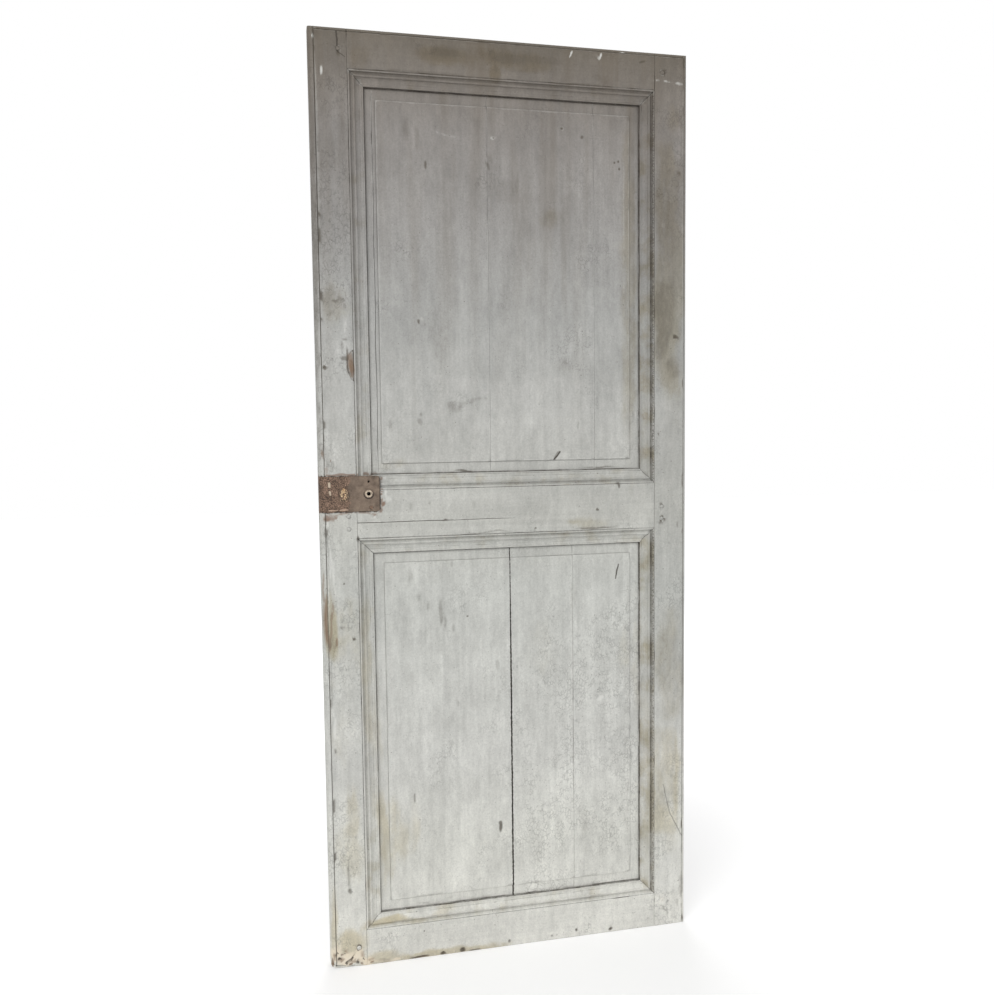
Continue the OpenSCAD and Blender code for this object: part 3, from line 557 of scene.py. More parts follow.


# marks of wear and one band of painted shade, as (across, up, half across, half up, strength) and
# a tilt in degrees if any
leafMarks = {
    "dirt": [
        # top rail
        (290, 2014, 46, 15, 0.62), (430, 2012, 50, 14, 0.6), (520, 2016, 70, 12, 0.5),
        (402, 1988, 6, 16, 0.5), (742, 2029, 10, 3, 0.95, -8), (793, 2007, 5.5, 5.5, 1),
        (62, 2000, 5, 6, 1), (640, 1985, 30, 12, 0.5, 30), (250, 1968, 90, 3, 0.62),
        (600, 1968, 60, 3, 0.6), (15, 2035, 10, 14, 0.45), (838, 2036, 12, 12, 0.5),
        # upper panel
        (247, 1777, 3, 9, 0.9), (384, 1783, 4, 13, 0.72, -14), (388, 1800, 7, 16, 0.5, -20),
        (554, 1872, 4, 4, 1), (601, 1855, 4, 4, 0.85), (679, 1805, 2.5, 3, 1),
        (688, 1806, 2.5, 3, 1), (689, 1792, 2.5, 3, 1), (400, 1846, 3, 2.5, 0.8),
        (205, 1850, 9, 40, 0.5), (228, 1825, 6, 36, 0.5), (450, 1740, 5, 30, 0.5),
        (420, 1730, 45, 30, 0.42, 20), (524, 1680, 16, 12, 0.4), (225, 1441, 4, 6, 0.85),
        (232, 1436, 12, 10, 0.45), (306, 1253, 24, 18, 0.55, -12), (350, 1270, 34, 7, 0.5, -12),
        (159, 1215, 5, 16, 0.55), (224, 1226, 6, 10, 0.58, -25), (226, 1242, 4, 6, 0.55),
        (537, 1143, 4, 12, 0.72, 42), (560, 1350, 30, 26, 0.45), (270, 1420, 34, 70, 0.42),
        (590, 1212, 3, 12, 0.5), (726, 1500, 9, 420, 0.5), (716, 1300, 12, 180, 0.46),
        (640, 1113, 40, 3, 0.7), (322, 1113, 30, 4, 0.85),
        # lock stile
        (42, 1483, 6, 4, 0.8), (55, 1489, 12, 5, 0.6, 20), (62, 1474, 4, 10, 0.6),
        (32, 1455, 12, 8, 0.5), (40, 1480, 26, 26, 0.42), (18, 1342, 4, 6, 0.95, -20),
        (66, 1400, 8, 4, 0.6), (67, 1348, 3, 30, 0.9), (796, 330, 44, 120, 0.42),
        (58, 1385, 4, 12, 0.55), (60, 1362, 8, 6, 0.75), (20, 1150, 6, 26, 0.5),
        (30, 1130, 6, 18, 0.52), (12, 1170, 6, 20, 0.5), (40, 1790, 34, 60, 0.45),
        # (4, 1600): painted shade along the rounded lock-side arris, listed with the dirt
        (30, 1900, 24, 90, 0.42), (70, 1840, 9, 60, 0.5), (4, 1600, 8, 420, 0.62),
        (4, 1230, 6, 90, 0.5), (12, 985, 6, 12, 0.8), (24, 742, 12, 22, 0.55),
        (44, 776, 8, 6, 0.6), (68, 747, 5, 4, 0.85), (50, 872, 3, 3, 0.8), (22, 500, 3, 8, 0.7),
        (44, 215, 3, 36, 0.66), (46, 178, 5, 8, 0.8), (16, 640, 4, 60, 0.5), (20, 22, 4, 5, 1),
        (48, 20, 4, 5, 0.9), (14, 36, 3, 4, 0.9), (34, 12, 3.5, 4, 1), (60, 9, 4, 3, 0.9),
        (74, 17, 3, 3, 0.8),
        # hinge stile
        (792, 1440, 26, 120, 0.62), (806, 1500, 24, 70, 0.56), (822, 1413, 5, 7, 1, -40),
        (812, 1340, 26, 24, 0.6), (800, 1650, 28, 110, 0.5), (812, 1860, 20, 60, 0.42),
        (832, 1784, 5, 6, 0.7), (782, 1192, 3, 10, 0.7, -30), (790, 1023, 8, 3, 0.8, 30),
        (786, 980, 7, 5, 0.7), (830, 975, 4, 10, 0.6), (806, 700, 24, 60, 0.42),
        (805, 640, 34, 150, 0.42), (796, 42, 4, 6, 0.6), (806, 56, 3, 5, 0.6),
        (803, 30, 3, 12, 0.5), (782, 60, 3, 4, 0.5), (845, 14, 4, 10, 0.8), (840, 84, 8, 34, 0.55),
        (832, 50, 5, 14, 0.5),
        # lock rail
        (684, 1073, 3, 8, 0.9), (82, 969, 4, 5, 1), (483, 979, 3, 3, 0.9), (632, 1018, 5, 3, 0.8),
        (240, 1042, 4, 8, 0.55), (345, 1040, 3, 9, 0.5), (200, 1035, 8, 12, 0.45),
        (625, 974, 60, 3, 0.75), (360, 974, 60, 2.5, 0.6),
        # lower panel
        (264, 800, 6, 34, 0.62, 4), (272, 778, 4, 18, 0.5), (197, 880, 6, 22, 0.5),
        (214, 826, 7, 14, 0.52), (236, 808, 7, 14, 0.5), (290, 905, 4, 10, 0.5),
        (290, 758, 4, 12, 0.5), (324, 782, 3, 3, 0.9), (397, 282, 4.5, 15, 0.95),
        (396, 293, 5, 5, 0.9), (196, 371, 3, 12, 0.72), (683, 868, 2.5, 18, 0.66, 14),
        (570, 820, 12, 40, 0.42), (392, 668, 6, 14, 0.5), (300, 585, 4, 14, 0.5),
        (688, 938, 22, 3, 0.6), (705, 560, 8, 380, 0.38), (595, 270, 16, 50, 0.42),
        (300, 122, 170, 4, 0.55), (560, 121, 160, 3, 0.5),
        # bottom rail
        (200, 3, 24, 3, 0.95), (255, 4, 8, 4, 1), (301, 6, 9, 5, 1), (330, 2, 14, 2.5, 0.9),
        (410, 12, 5, 5, 0.72), (575, 17, 4, 5, 0.8), (660, 7, 6, 4, 0.9), (514, 10, 4, 4, 0.66),
        (120, 6, 20, 5, 0.6),
    ],
    "stain": [
        (290, 2010, 70, 26, 0.8), (450, 2008, 110, 26, 0.75), (400, 1978, 16, 24, 0.8),
        (524, 1674, 30, 24, 0.5), (714, 1500, 22, 430, 0.66), (812, 1600, 40, 380, 0.7),
        (800, 1440, 44, 160, 0.8), (40, 1480, 30, 40, 0.5), (22, 760, 16, 90, 1),
        (14, 800, 10, 70, 0.9), (40, 740, 20, 40, 0.6), (60, 700, 34, 160, 0.4),
        (44, 560, 34, 120, 0.34), (50, 790, 24, 70, 0.5), (60, 350, 22, 80, 0.66),
        (50, 290, 32, 110, 0.5), (124, 300, 14, 120, 0.8), (150, 335, 18, 60, 0.6),
        (164, 276, 26, 56, 0.6), (196, 300, 14, 70, 0.45), (142, 226, 14, 40, 0.6),
        (122, 372, 8, 44, 0.6), (150, 290, 40, 80, 0.45), (796, 350, 44, 150, 0.62),
        (770, 360, 20, 130, 0.6), (805, 640, 36, 170, 0.5), (800, 270, 40, 54, 0.7),
        (830, 350, 8, 120, 0.8), (612, 988, 52, 18, 0.6), (575, 990, 20, 8, 0.7),
        (120, 94, 60, 9, 0.95), (180, 90, 60, 8, 0.7), (95, 640, 14, 200, 0.6),
        (110, 500, 20, 200, 0.45), (40, 60, 44, 40, 0.9), (34, 50, 40, 26, 0.7),
        (110, 12, 60, 14, 0.8), (260, 6, 130, 10, 0.9), (765, 330, 10, 110, 0.8),
        (752, 420, 10, 60, 0.5), (700, 690, 20, 60, 0.4), (8, 90, 9, 90, 0.8),
        (100, 1990, 30, 30, 0.5), (160, 1130, 60, 14, 0.45), (730, 640, 14, 130, 0.45),
        (500, 700, 40, 60, 0.3),
    ],
    "rust": [
        (16, 1018, 11, 7, 1, -14), (30, 1021, 8, 4, 0.9), (138, 1043, 5, 7, 1, 20),
        (134, 1030, 5, 5, 0.8), (136, 1080, 3, 10, 0.75), (137, 1098, 4, 5, 0.8),
        (118, 1024, 8, 3, 0.8), (70, 1026, 60, 3, 0.8), (134, 1066, 3, 40, 0.85),
        (66, 1110, 64, 3.5, 0.85), (18, 1120, 6, 9, 0.6), (6, 800, 5, 50, 0.6),
        (10, 762, 6, 30, 0.5), (68, 1340, 3, 24, 0.5), (48, 18, 6, 6, 0.6), (253, 3, 7, 3, 0.7),
        (24, 18, 9, 7, 0.8), (54, 14, 12, 6, 0.8), (72, 28, 8, 8, 0.7), (90, 12, 10, 5, 0.7),
        (36, 38, 8, 6, 0.6), (10, 28, 4, 12, 0.8), (302, 4, 7, 3, 0.7),
    ],
    "pale": [
        (575, 2031, 2.2, 8, 1, 18), (643, 2031, 2.4, 9, 1, 18), (690, 2043, 5, 2, 0.9),
        (792, 1988, 28, 3, 0.62, 4), (835, 1984, 12, 4, 0.6), (27, 1958, 2.5, 9, 0.9),
        (12, 2026, 3, 3, 0.9), (554, 1872, 7, 6, 0.5), (398, 1845, 6, 5, 0.6),
        (290, 1846, 40, 4, 0.4, 12), (186, 1957, 3, 3, 0.7), (230, 1440, 11, 12, 0.5),
        (40, 1440, 18, 40, 0.4), (56, 1380, 14, 40, 0.42), (36, 1330, 22, 60, 0.36),
        (62, 1428, 7, 24, 0.52), (66, 1262, 5, 34, 0.46), (34, 1160, 10, 34, 0.5),
        (12, 1140, 5, 30, 0.5), (40, 1195, 6, 12, 0.42), (20, 1215, 8, 30, 0.4),
        (16, 1006, 4, 8, 0.7), (21, 915, 4, 62, 0.7), (28, 890, 3, 60, 0.6), (15, 850, 3, 40, 0.6),
        (14, 720, 3, 60, 0.5), (22, 556, 4.5, 26, 0.8), (18, 590, 3, 16, 0.6),
        (146, 1072, 6, 20, 0.6), (150, 1054, 8, 12, 0.6), (144, 1100, 6, 6, 0.6),
        (120, 1020, 12, 3, 0.72), (640, 568, 12, 6, 0.8, -20), (812, 140, 30, 90, 0.58),
        (795, 100, 12, 60, 0.5), (820, 200, 24, 34, 0.55), (573, 600, 5, 300, 0.5),
        (577, 300, 4, 180, 0.5), (160, 545, 20, 20, 0.3), (14, 34, 14, 24, 1), (44, 22, 22, 16, 1),
        (32, 16, 20, 14, 1), (64, 26, 12, 18, 1), (82, 10, 16, 9, 1), (120, 5, 30, 4, 0.7),
        (150, 5, 12, 4, 0.8), (700, 1600, 4, 280, 0.4), (710, 1290, 5, 160, 0.42),
        (500, 940, 20, 6, 0.4), (8, 440, 3, 120, 0.5),
    ],
    "bare": [
        (75, 1340, 7, 27, 1), (70, 1362, 5, 8, 0.8), (26, 30, 3, 5, 0.8), (44, 8, 6, 3, 0.9),
        (70, 6, 5, 3, 0.8), (5, 12, 4, 10, 1), (66, 40, 3, 4, 0.7), (92, 5, 6, 3, 0.8),
        (205, 2, 20, 2.5, 0.9), (10, 1160, 4, 12, 0.7), (25, 1143, 4, 6, 0.6),
        (10, 800, 3, 60, 0.85), (20, 790, 3, 44, 0.65), (16, 742, 4, 30, 0.75),
        (30, 745, 3, 16, 0.7), (24, 822, 2.5, 30, 0.6), (5, 860, 3, 40, 0.6),
    ],
}

# shallow holes, as (across, up, radius, depth)
dents = [(554, 1872, 3.2, 2.2), (601, 1855, 2.6, 1.4), (679, 1805, 1.8, 2), (688, 1806, 1.8, 2),
         (689, 1792, 1.8, 2), (400, 1846, 4, 1.4), (793, 2007, 3.4, 2), (62, 2000, 3.6, 2.5),
         (82, 969, 3.4, 2.5), (225, 1441, 3.2, 1.4), (324, 782, 2.4, 1.2), (18, 1342, 3, 1.6),
         (822, 1413, 4, 1.5), (397, 290, 3, 2), (396, 276, 2.4, 1.5), (632, 1018, 3, 1.2),
         (20, 22, 3.4, 3), (34, 12, 3, 3), (48, 20, 3.2, 3), (60, 9, 3, 2.5), (14, 36, 3, 2.5),
         (74, 16, 2.6, 2), (30, 32, 2.6, 2.5), (255, 5, 4, 3), (301, 7, 4, 3), (660, 8, 3, 2),
         (575, 18, 2.4, 1.5), (410, 13, 2.4, 1.2), (68, 747, 2.6, 1.5), (537, 1143, 3, 1.2)]

# thin marks on the boards, as (start, end, width in mm)
panelNicks = [((531, 1134), (546, 1151), 2.4), ((679, 853), (686, 886), 1.6),
              ((666, 940), (686, 936), 2.0)]

# and on the frame, as (start, end, width in mm, how dark)
frameScratches = [((60, 2040), (62, 2001), 2.4, 1.0), ((63, 1999), (77, 1989), 1.6, 0.8),
                  ((795, 350), (810, 282), 1.6, 0.5), ((810, 282), (842, 218), 1.6, 0.5),
                  ((44, 250), (46, 180), 3.0, 0.22)]


woodWear = {
    "rowGap": 11.0,       # mm between rows of points along a piece
    "boardGap": 9.0,
    "mouldGap": 18.0,
    "arrisRows": (0.9, 2.6),  # mm from the ends of a piece and from the shoulders
    "jointRows": (-4.6, -2.8, 1.2, 3.2),  # mm from the joint that has opened
    "thin": 12.0,         # mm, thinner pieces get no rows near their arrises
    "rough": 0.22,        # mm of unevenness of the flat faces
    "arrisRub": 0.55,     # mm taken off the sharp arrises
    "arrisChip": 1.6,     # mm more where the arris is chipped
    "smallMark": 7.0,     # mm, marks with a half width below this get smaller faces
    "around": 6.0,        # mm of smaller faces around them
    "leastFace": 3e-5,    # square metres, faces below this stay as they are
    "sliver": 3e-5,       # m, faces narrower than this are taken out
    "facing": 0.7,        # how squarely a face looks forwards to take marks
    "sharp": (0.7, 0.2),  # radians, a sharp arris and a soft one
    "waves": (55.0, 8.0, 26.0),  # mm, sizes of the broad, the fine and the chipped wear
    "frontDepth": 15.0,   # mm behind the front that the front's marks reach
    "arris": (10.6, 6.1, 3.0, 7.1),  # mm kept clear of deep dirt: lock, hinge, foot, top
    "deepDirt": (0.7, 3.5, 7.0),     # mm below the face: start, end in frame, end in boards
    "margin": 3.0,        # mm that the edges of the boards lie behind their raised field
    "lowerWear": 0.5,     # share of the wear, 1 on the frame
    "upperWear": 0.22,
    "mouldWear": 0.5,
    "backSplash": 210.0,  # mm of dirt up from the foot of the back
    "backHand": 120.0,    # mm of dirt around the spindle on the back
}


frontMm, leftMm = leafFront * 1000, leafLeft * 1000
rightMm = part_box("hinge_stile")[1].x * 1000
spindleMm = (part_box("follower")[0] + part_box("follower")[1]) * 500


def cutRows(bm, axis, places):
    # halves the faces again and again, so that each cut only meets the faces near it
    normal = Vector((axis == 0, axis == 1, axis == 2))
    parts = [(bm.faces[:], sorted(set(round(p, 5) for p in places)))]
    while parts:
        faces, left = parts.pop()
        if not left or not faces:
            continue
        middle = left[len(left) // 2]
        around = {e for f in faces for e in f.edges} | {v for f in faces for v in f.verts}
        made = bmesh.ops.bisect_plane(bm, geom=faces + list(around), dist=1e-6,
                                      plane_co=normal * middle, plane_no=normal)["geom"]
        below, above = [], []
        for item in made:
            if isinstance(item, bmesh.types.BMFace):
                side = below if item.calc_center_median()[axis] < middle else above
                side.append(item)
        parts.append((below, left[:len(left) // 2]))
        parts.append((above, left[len(left) // 2 + 1:]))


def evenPlaces(low, high, gap):
    # even steps, with two close ones at either end for the worn arris
    steps = max(1, round((high - low) / gap))
    places = [low + (high - low) * i / steps for i in range(1, steps)]
    if high - low > woodWear["thin"] * millimetre:
        for inset in woodWear["arrisRows"]:
            places += [low + inset * millimetre, high - inset * millimetre]
    return places


def marksNear(low, high):
    # the marks and dents that fall on a piece
    def within(mark, wide, tall):
        across, up = leafLeft + mark[0] * millimetre, mark[1] * millimetre
        wide, tall = 2 * wide * millimetre, 2 * tall * millimetre
        return low.x - wide < across < high.x + wide and low.z - tall < up < high.z + tall

    found = {kind: [m for m in marks if within(m, m[2], m[3])]
             for kind, marks in leafMarks.items()}
    return found, [d for d in dents if within(d, 0, 0)]


def refine(bm, found, holes):
    # smaller faces around the small marks and the dents
    spots = [m[:4] for marks in found.values() for m in marks
             if min(m[2], m[3]) < woodWear["smallMark"] and max(m[2], m[3]) < 90]
    spots += [(d[0], d[1], d[2], d[2]) for d in holes]
    near, margin = set(), woodWear["around"]
    for face in bm.faces:
        middle = face.calc_center_median() * 1000
        behind = middle.y > frontMm + woodWear["frontDepth"]
        aside = face.normal.y > -woodWear["facing"]
        if aside or behind or face.calc_area() < woodWear["leastFace"]:
            continue
        for across, up, wide, high in spots:
            if abs(middle.x - leftMm - across) < wide + margin \
                    and abs(middle.z - up) < high + margin:
                near.update(face.edges)
                break
    if near:
        bmesh.ops.subdivide_edges(bm, edges=list(near), cuts=3, use_grid_fill=True)


def wearDown(bm, rough, rub, chip, holes):
    # every move is inwards, so that nothing grows past its true size
    bm.normal_update()
    edge = bm.verts.layers.float.new("edge")
    broadSize, fineSize, chipSize = woodWear["waves"]
    moves = []
    for v in bm.verts:
        sharp = max((e.calc_face_angle_signed(0.0) for e in v.link_edges if e.is_manifold),
                    default=0.0)
        p = v.co * 1000
        wave = noise.noise(p / broadSize) * 0.5 + 0.5
        fine = noise.noise(p / fineSize + Vector((3.1, 7.7, 1.3))) * 0.5 + 0.5
        depth = rough * (0.6 * wave + 0.4 * fine)
        if sharp > woodWear["sharp"][0]:
            bite = noise.noise(p / chipSize + Vector((9.0, 0.0, 4.0)))
            depth += rub * (0.5 + fine) + chip * max(0.0, bite - 0.22)
            v[edge] = 0.75
        elif sharp > woodWear["sharp"][1]:
            v[edge] = 0.35
        shift = -v.normal * depth
        if v.normal.y < -woodWear["facing"]:
            for across, up, radius, deep in holes:
                away = math.hypot(p.x - leftMm - across, p.z - up) / radius
                if away < 1.15:
                    shift.y += deep * (1 - (away / 1.15) ** 2)
        moves.append((v, shift * 0.001))
    for v, shift in moves:
        v.co += shift


def paintMarks(bm, found, deepFrom, deepTo):
    # one soft value per kind of mark; narrow gaps and cracks are filled with dirt
    layers = {kind: bm.verts.layers.float.new(kind) for kind in leafMarks}
    lockSide, hingeSide = leftMm + woodWear["arris"][0], rightMm - woodWear["arris"][1]
    foot, top = woodWear["arris"][2], leafTop * 1000 - woodWear["arris"][3]
    for v in bm.verts:
        p = v.co * 1000
        if p.y > frontMm + woodWear["frontDepth"]:
            # the back: a splashed foot, and a patch worn by hands beside the spindle
            patchy = noise.noise(p / 40.0) * 0.5 + 0.5
            splash = max(0.0, 1.0 - p.z / woodWear["backSplash"])
            hand = math.hypot(p.x - spindleMm.x, (p.z - spindleMm.z) * 0.6)
            hand = max(0.0, 1.0 - hand / woodWear["backHand"])
            v[layers["stain"]] = min(1.0, patchy * (1.3 * splash + hand))
            v[layers["dirt"]] = patchy * (0.6 * splash * splash + 0.5 * hand)
            continue
        warp = noise.noise_vector(p / 30.0)
        broad = noise.noise_vector(p / 70.0)
        x, z = p.x - leftMm + warp.x * 3, p.z + warp.z * 5
        for kind, marks in found.items():
            most = 0.0
            for across, up, wide, high, strength, *tilt in marks:
                dx, dz = x - across + broad.x * wide * 0.5, z - up + broad.z * high * 0.5
                if abs(dx) > 1.6 * (wide + high) or abs(dz) > 1.6 * (wide + high):
                    continue
                if tilt:
                    c, s = math.cos(math.radians(tilt[0])), math.sin(math.radians(tilt[0]))
                    dx, dz = dx * c - dz * s, dx * s + dz * c
                away = math.hypot(dx / wide, dz / high)
                share = min(1.0, max(0.0, 1.5 - away))
                most = max(most, strength * share * share * (3 - 2 * share))
            v[layers[kind]] = most
        inside = lockSide < p.x < hingeSide and foot < p.z < top
        if inside and deepFrom < p.y < deepTo:
            v[layers["dirt"]] = 0.4 if v[layers["bare"]] > 0.4 else 1.0


def finishMesh(name, bm, material, smooth=42.0):
    mesh = bpy.data.meshes.new(name)
    bm.to_mesh(mesh)
    bm.free()
    for polygon in mesh.polygons:
        polygon.use_smooth = True
    mesh.set_sharp_from_angle(angle=math.radians(smooth))
    piece = bpy.data.objects.new(name, mesh)
    scene.collection.objects.link(piece)
    mesh.materials.append(material)
    return piece


def mergedCopy(name):
    bm = bmesh.new()
    bm.from_mesh(nodes[name].data)
    bmesh.ops.remove_doubles(bm, verts=bm.verts, dist=1e-6)
    return bm


def standFor(piece, name):
    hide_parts(name)
    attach(piece, "leaf")


def wornWood(name, material, gaps, extra, deep, wear=1.0):
    low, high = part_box(name)
    bm = mergedCopy(name)
    found, holes = marksNear(low, high)
    if gaps[1]:
        cutRows(bm, 1, [y for y in evenPlaces(leafFront, leafBack, gaps[1])
                        if low.y < y < high.y])
    if gaps[0]:
        cutRows(bm, 0, [x for x in evenPlaces(low.x, high.x, gaps[0]) + extra
                        if low.x < x < high.x])
    if gaps[2]:
        cutRows(bm, 2, evenPlaces(low.z, high.z, gaps[2]))
    refine(bm, found, holes)
    bmesh.ops.dissolve_degenerate(bm, edges=bm.edges, dist=woodWear["sliver"])
    wearDown(bm, woodWear["rough"] * wear, woodWear["arrisRub"] * wear,
             woodWear["arrisChip"] * wear, holes)
    bmesh.ops.dissolve_degenerate(bm, edges=bm.edges, dist=woodWear["sliver"])
    paintMarks(bm, found, *deep)
    standFor(finishMesh("worn_" + name, bm, material), name)


frameUpright = paintedWood("frameUpright", (90.0, 90.0, 3.0), 0.42, frameScratches)
frameLevel = paintedWood("frameLevel", (3.0, 90.0, 90.0), 0.3, frameScratches[:1])
boardPaint = panelPaint()
mouldingPaint = mouldPaint()

besideShoulders = []
for inset in woodWear["arrisRows"]:
    besideShoulders += [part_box("lock_stile")[1].x + inset * millimetre,
                        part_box("hinge_stile")[0].x - inset * millimetre]
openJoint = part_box("lower_board_2")[0].x
besideJoint = [openJoint + beside * millimetre for beside in woodWear["jointRows"]]
row, boardRow, mouldRow = (woodWear[gap] * millimetre
                           for gap in ("rowGap", "boardGap", "mouldGap"))
dirtFrom, dirtTo, dirtToBoards = woodWear["deepDirt"]
noDirt = (0.0, 0.0)

frameDirt = (frontMm + dirtFrom, frontMm + dirtTo)
for name in ("lock_stile", "hinge_stile"):
    wornWood(name, frameUpright, (row, row, row), [], frameDirt)
for name in ("top_rail", "lock_rail", "bottom_rail"):
    wornWood(name, frameLevel, (row, row, row), besideShoulders, frameDirt)
print("frame worn")

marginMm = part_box("upper_board_2")[0].y * 1000 + woodWear["margin"]
boardDirt = (marginMm + dirtFrom, marginMm + dirtToBoards)
for name in nodes:
    if "_board_" in name:
        lower = name.startswith("lower")
        wornWood(name, boardPaint, (boardRow, 0, boardRow),
                 besideJoint if lower else [], boardDirt if lower else noDirt,
                 woodWear["lowerWear"] if lower else woodWear["upperWear"])
print("boards worn")

for name in nodes:
    if "_mould_" in name and not name.endswith("pins"):
        level = name.endswith("top") or name.endswith("bottom")
        wornWood(name, mouldingPaint,
                 (mouldRow if level else 0, 0, 0 if level else mouldRow), [], noDirt,
                 woodWear["mouldWear"])
print("mouldings worn")

# metal of the lock: colours of crusted and of smoother, browned iron
metalLook = {
    "crust": ((54, 42, 34), (100, 81, 67), (158, 130, 111)),
    "smooth": ((78, 66, 56), (114, 99, 86), (134, 118, 102)),
    "bright": (206, 190, 168),
    "line": (208, 182, 160),
    "brass": ((104, 80, 62), (180, 146, 110), (230, 208, 174)),
    "greaseAndShade": (48, 38, 31),   # dirt round the follower and the key hole, and painted shade along the plate's right edge
    "spot": (60, 50, 42),
    "hole": (14, 11, 9),      # inside of the follower, painted near black as the shadow in its square hole
    "faceStep": 2.6,      # mm between rows of points on the plate
    "kept": 9.5,          # mm around the follower and the key cover that stay flat
    "skin": 0.1,          # mm, points this near the front of the leaf count as on it
    "pitDepth": 0.35,     # mm
    "rimLoss": 1.0,       # mm off the outline where it has rusted away
    "cornerRound": 4.0,
}


def makeRust():
    # crusted rust where Crust is 1, thin brown rust where it is 0
    group, take, give = newGroup("rustCrust", {"Position": None, "Crust": 1.0},
                                 ["Color", "Roughness", "Metal", "Height"])
    place = take["Position"]
    broad = noiseAt(group, place, 60.0, 5.0, 0.6)
    grains = noiseAt(group, place, 420.0, 4.0, 0.7)
    pits = put(group, "TexVoronoi", {"Vector": place, "Scale": 380.0}).outputs["Distance"]
    mixed = scaled(group, grains, 0.7, times(group, broad, 0.3))
    crust = ramp(group, mixed, [(0.42, linear(*metalLook["crust"][0])),
                                (0.5, linear(*metalLook["crust"][1])),
                                (0.6, linear(*metalLook["crust"][2]))])
    smooth = ramp(group, broad, [(0.3, linear(*metalLook["smooth"][0])),
                                 (0.5, linear(*metalLook["smooth"][1])),
                                 (0.72, linear(*metalLook["smooth"][2]))])
    smooth = blendColour(group, times(group, band(group, grains, 0.58, 0.66), 0.5),
                         smooth, linear(*metalLook["crust"][0]))
    edge = scaled(group, less(group, broad, 0.5), 1.6, take["Crust"])
    edge = band(group, edge, 0.3, 0.7)
    rough = scaled(group, grains, 0.3, 0.42)
    fill(group, give, {"Color": blendColour(group, edge, smooth, crust),
                       "Roughness": scaled(group, edge, 0.2, rough, clamp=True),
                       "Metal": scaled(group, edge, -0.25, 0.35)})
    bite = times(group, band(group, pits, 0.1, 0.5), 0.0003)
    lumps = scaled(group, grains, 0.0008, bite)
    lumps = times(group, lumps, scaled(group, edge, 0.8, 0.2))
    fill(group, give, {"Height": lumps})
    return group


rustGroup = makeRust()


def finishMetal(tree, shader, made, colour=None, metal=None):
    fill(tree, shader, {"Base Color": colour or made["Color"],
                        "Metallic": metal or made["Metal"], "Roughness": made["Roughness"]})
    bump(tree, shader, made["Height"])


def plainRust(name, crust):
    material, tree, shader, place = newMaterial(name)
    finishMetal(tree, shader, useGroup(tree, rustGroup, {"Position": place, "Crust": crust}))
    return material


def ringMask(tree, place, centre, low, high):
    # 1 between two distances from a point of the front
    away = vectors(tree, "MULTIPLY", place, (1.0, 0.0, 1.0))
    away = measure(tree, "DISTANCE", away, (centre.x, 0.0, centre.z))
    inner = band(tree, away, low - 0.0004, low + 0.0004)
    return times(tree, inner, fade(tree, away, high - 0.0004, high + 0.0006))


def middleOf(name):
    low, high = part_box(name)
    return (low + high) / 2


def followerAxis():
    low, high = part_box("follower")
    return Vector(((low.x + high.x) / 2, 0.0, high.z - (high.x - low.x) / 2))


def platePaint():
    # crusted at the lock edge, smoother round the follower, rubbed bright in places, with a pale
    # line along the lower edge and painted shade along the right edge
    material, tree, shader, place = newMaterial("plateRust")
    low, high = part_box("lock_plate")
    axes = put(tree, "SeparateXYZ", {0: place}).outputs
    crust = fade(tree, axes[0], low.x + 0.045, low.x + 0.085)
    made = useGroup(tree, rustGroup, {"Position": place, "Crust": crust})
    dark = ringMask(tree, place, followerAxis(), 0.0092, 0.0118)
    breaks = noiseAt(tree, place, 90.0, 3.0)
    below = fade(tree, axes[2], followerAxis().z - 0.004, followerAxis().z + 0.008)
    dark = times(tree, dark, band(tree, breaks, 0.3, 0.5))
    dark = times(tree, dark, scaled(tree, below, 0.7, 0.25))
    # painted shade along the plate's right edge, with some dirt
    rim = band(tree, axes[0], high.x - 0.0035, high.x - 0.001)
    rim = times(tree, rim, scaled(tree, breaks, 1.2, 0.1), clamp=True)
    dark = larger(tree, dark, rim)
    hole = ringMask(tree, place, middleOf("key_escutcheon"), 0.0, 0.013)
    dark = larger(tree, dark, times(tree, hole, 0.35))
    colour = blendColour(tree, dark, made["Color"], linear(*metalLook["greaseAndShade"]))
    worn = larger(tree, markLine(tree, place, (23, 1092), (23, 1085), 3.0),
                  markLine(tree, place, (23, 1073), (24, 1068), 3.0))
    line = markLine(tree, place, (20, 1033), (62, 1034), 1.6)
    colour = blendColour(tree, times(tree, worn, 0.8), colour, linear(*metalLook["bright"]))
    colour = blendColour(tree, times(tree, line, 0.75), colour, linear(*metalLook["line"]))
    spot = markLine(tree, place, (107, 1095), (108, 1096), 2.4)
    colour = blendColour(tree, times(tree, spot, 0.8), colour, linear(*metalLook["spot"]))
    finishMetal(tree, shader, made, colour)
    return material


def followerMetal():
    # rim rubbed bright, rusty elsewhere, the square hole painted dark as its shadow
    material, tree, shader, place = newMaterial("followerMetal")
    made = useGroup(tree, rustGroup, {"Position": place, "Crust": 0.2})
    front = axisOf(tree, place, 1)
    rub = fade(tree, front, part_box("follower")[0].y + 0.0004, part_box("follower")[0].y + 0.001)
    wear = noiseAt(tree, place, 300.0, 3.0)
    rub = times(tree, rub, band(tree, wear, 0.3, 0.5))
    colour = blendColour(tree, times(tree, rub, 0.85), made["Color"], linear(*metalLook["bright"]))
    # painted shadow: the walls of the square hole near black
    hole = ringMask(tree, place, followerAxis(), -0.001, 0.0042)
    colour = blendColour(tree, hole, colour, linear(*metalLook["hole"]))
    finishMetal(tree, shader, made, colour, times(tree, rub, 0.1))
    return material


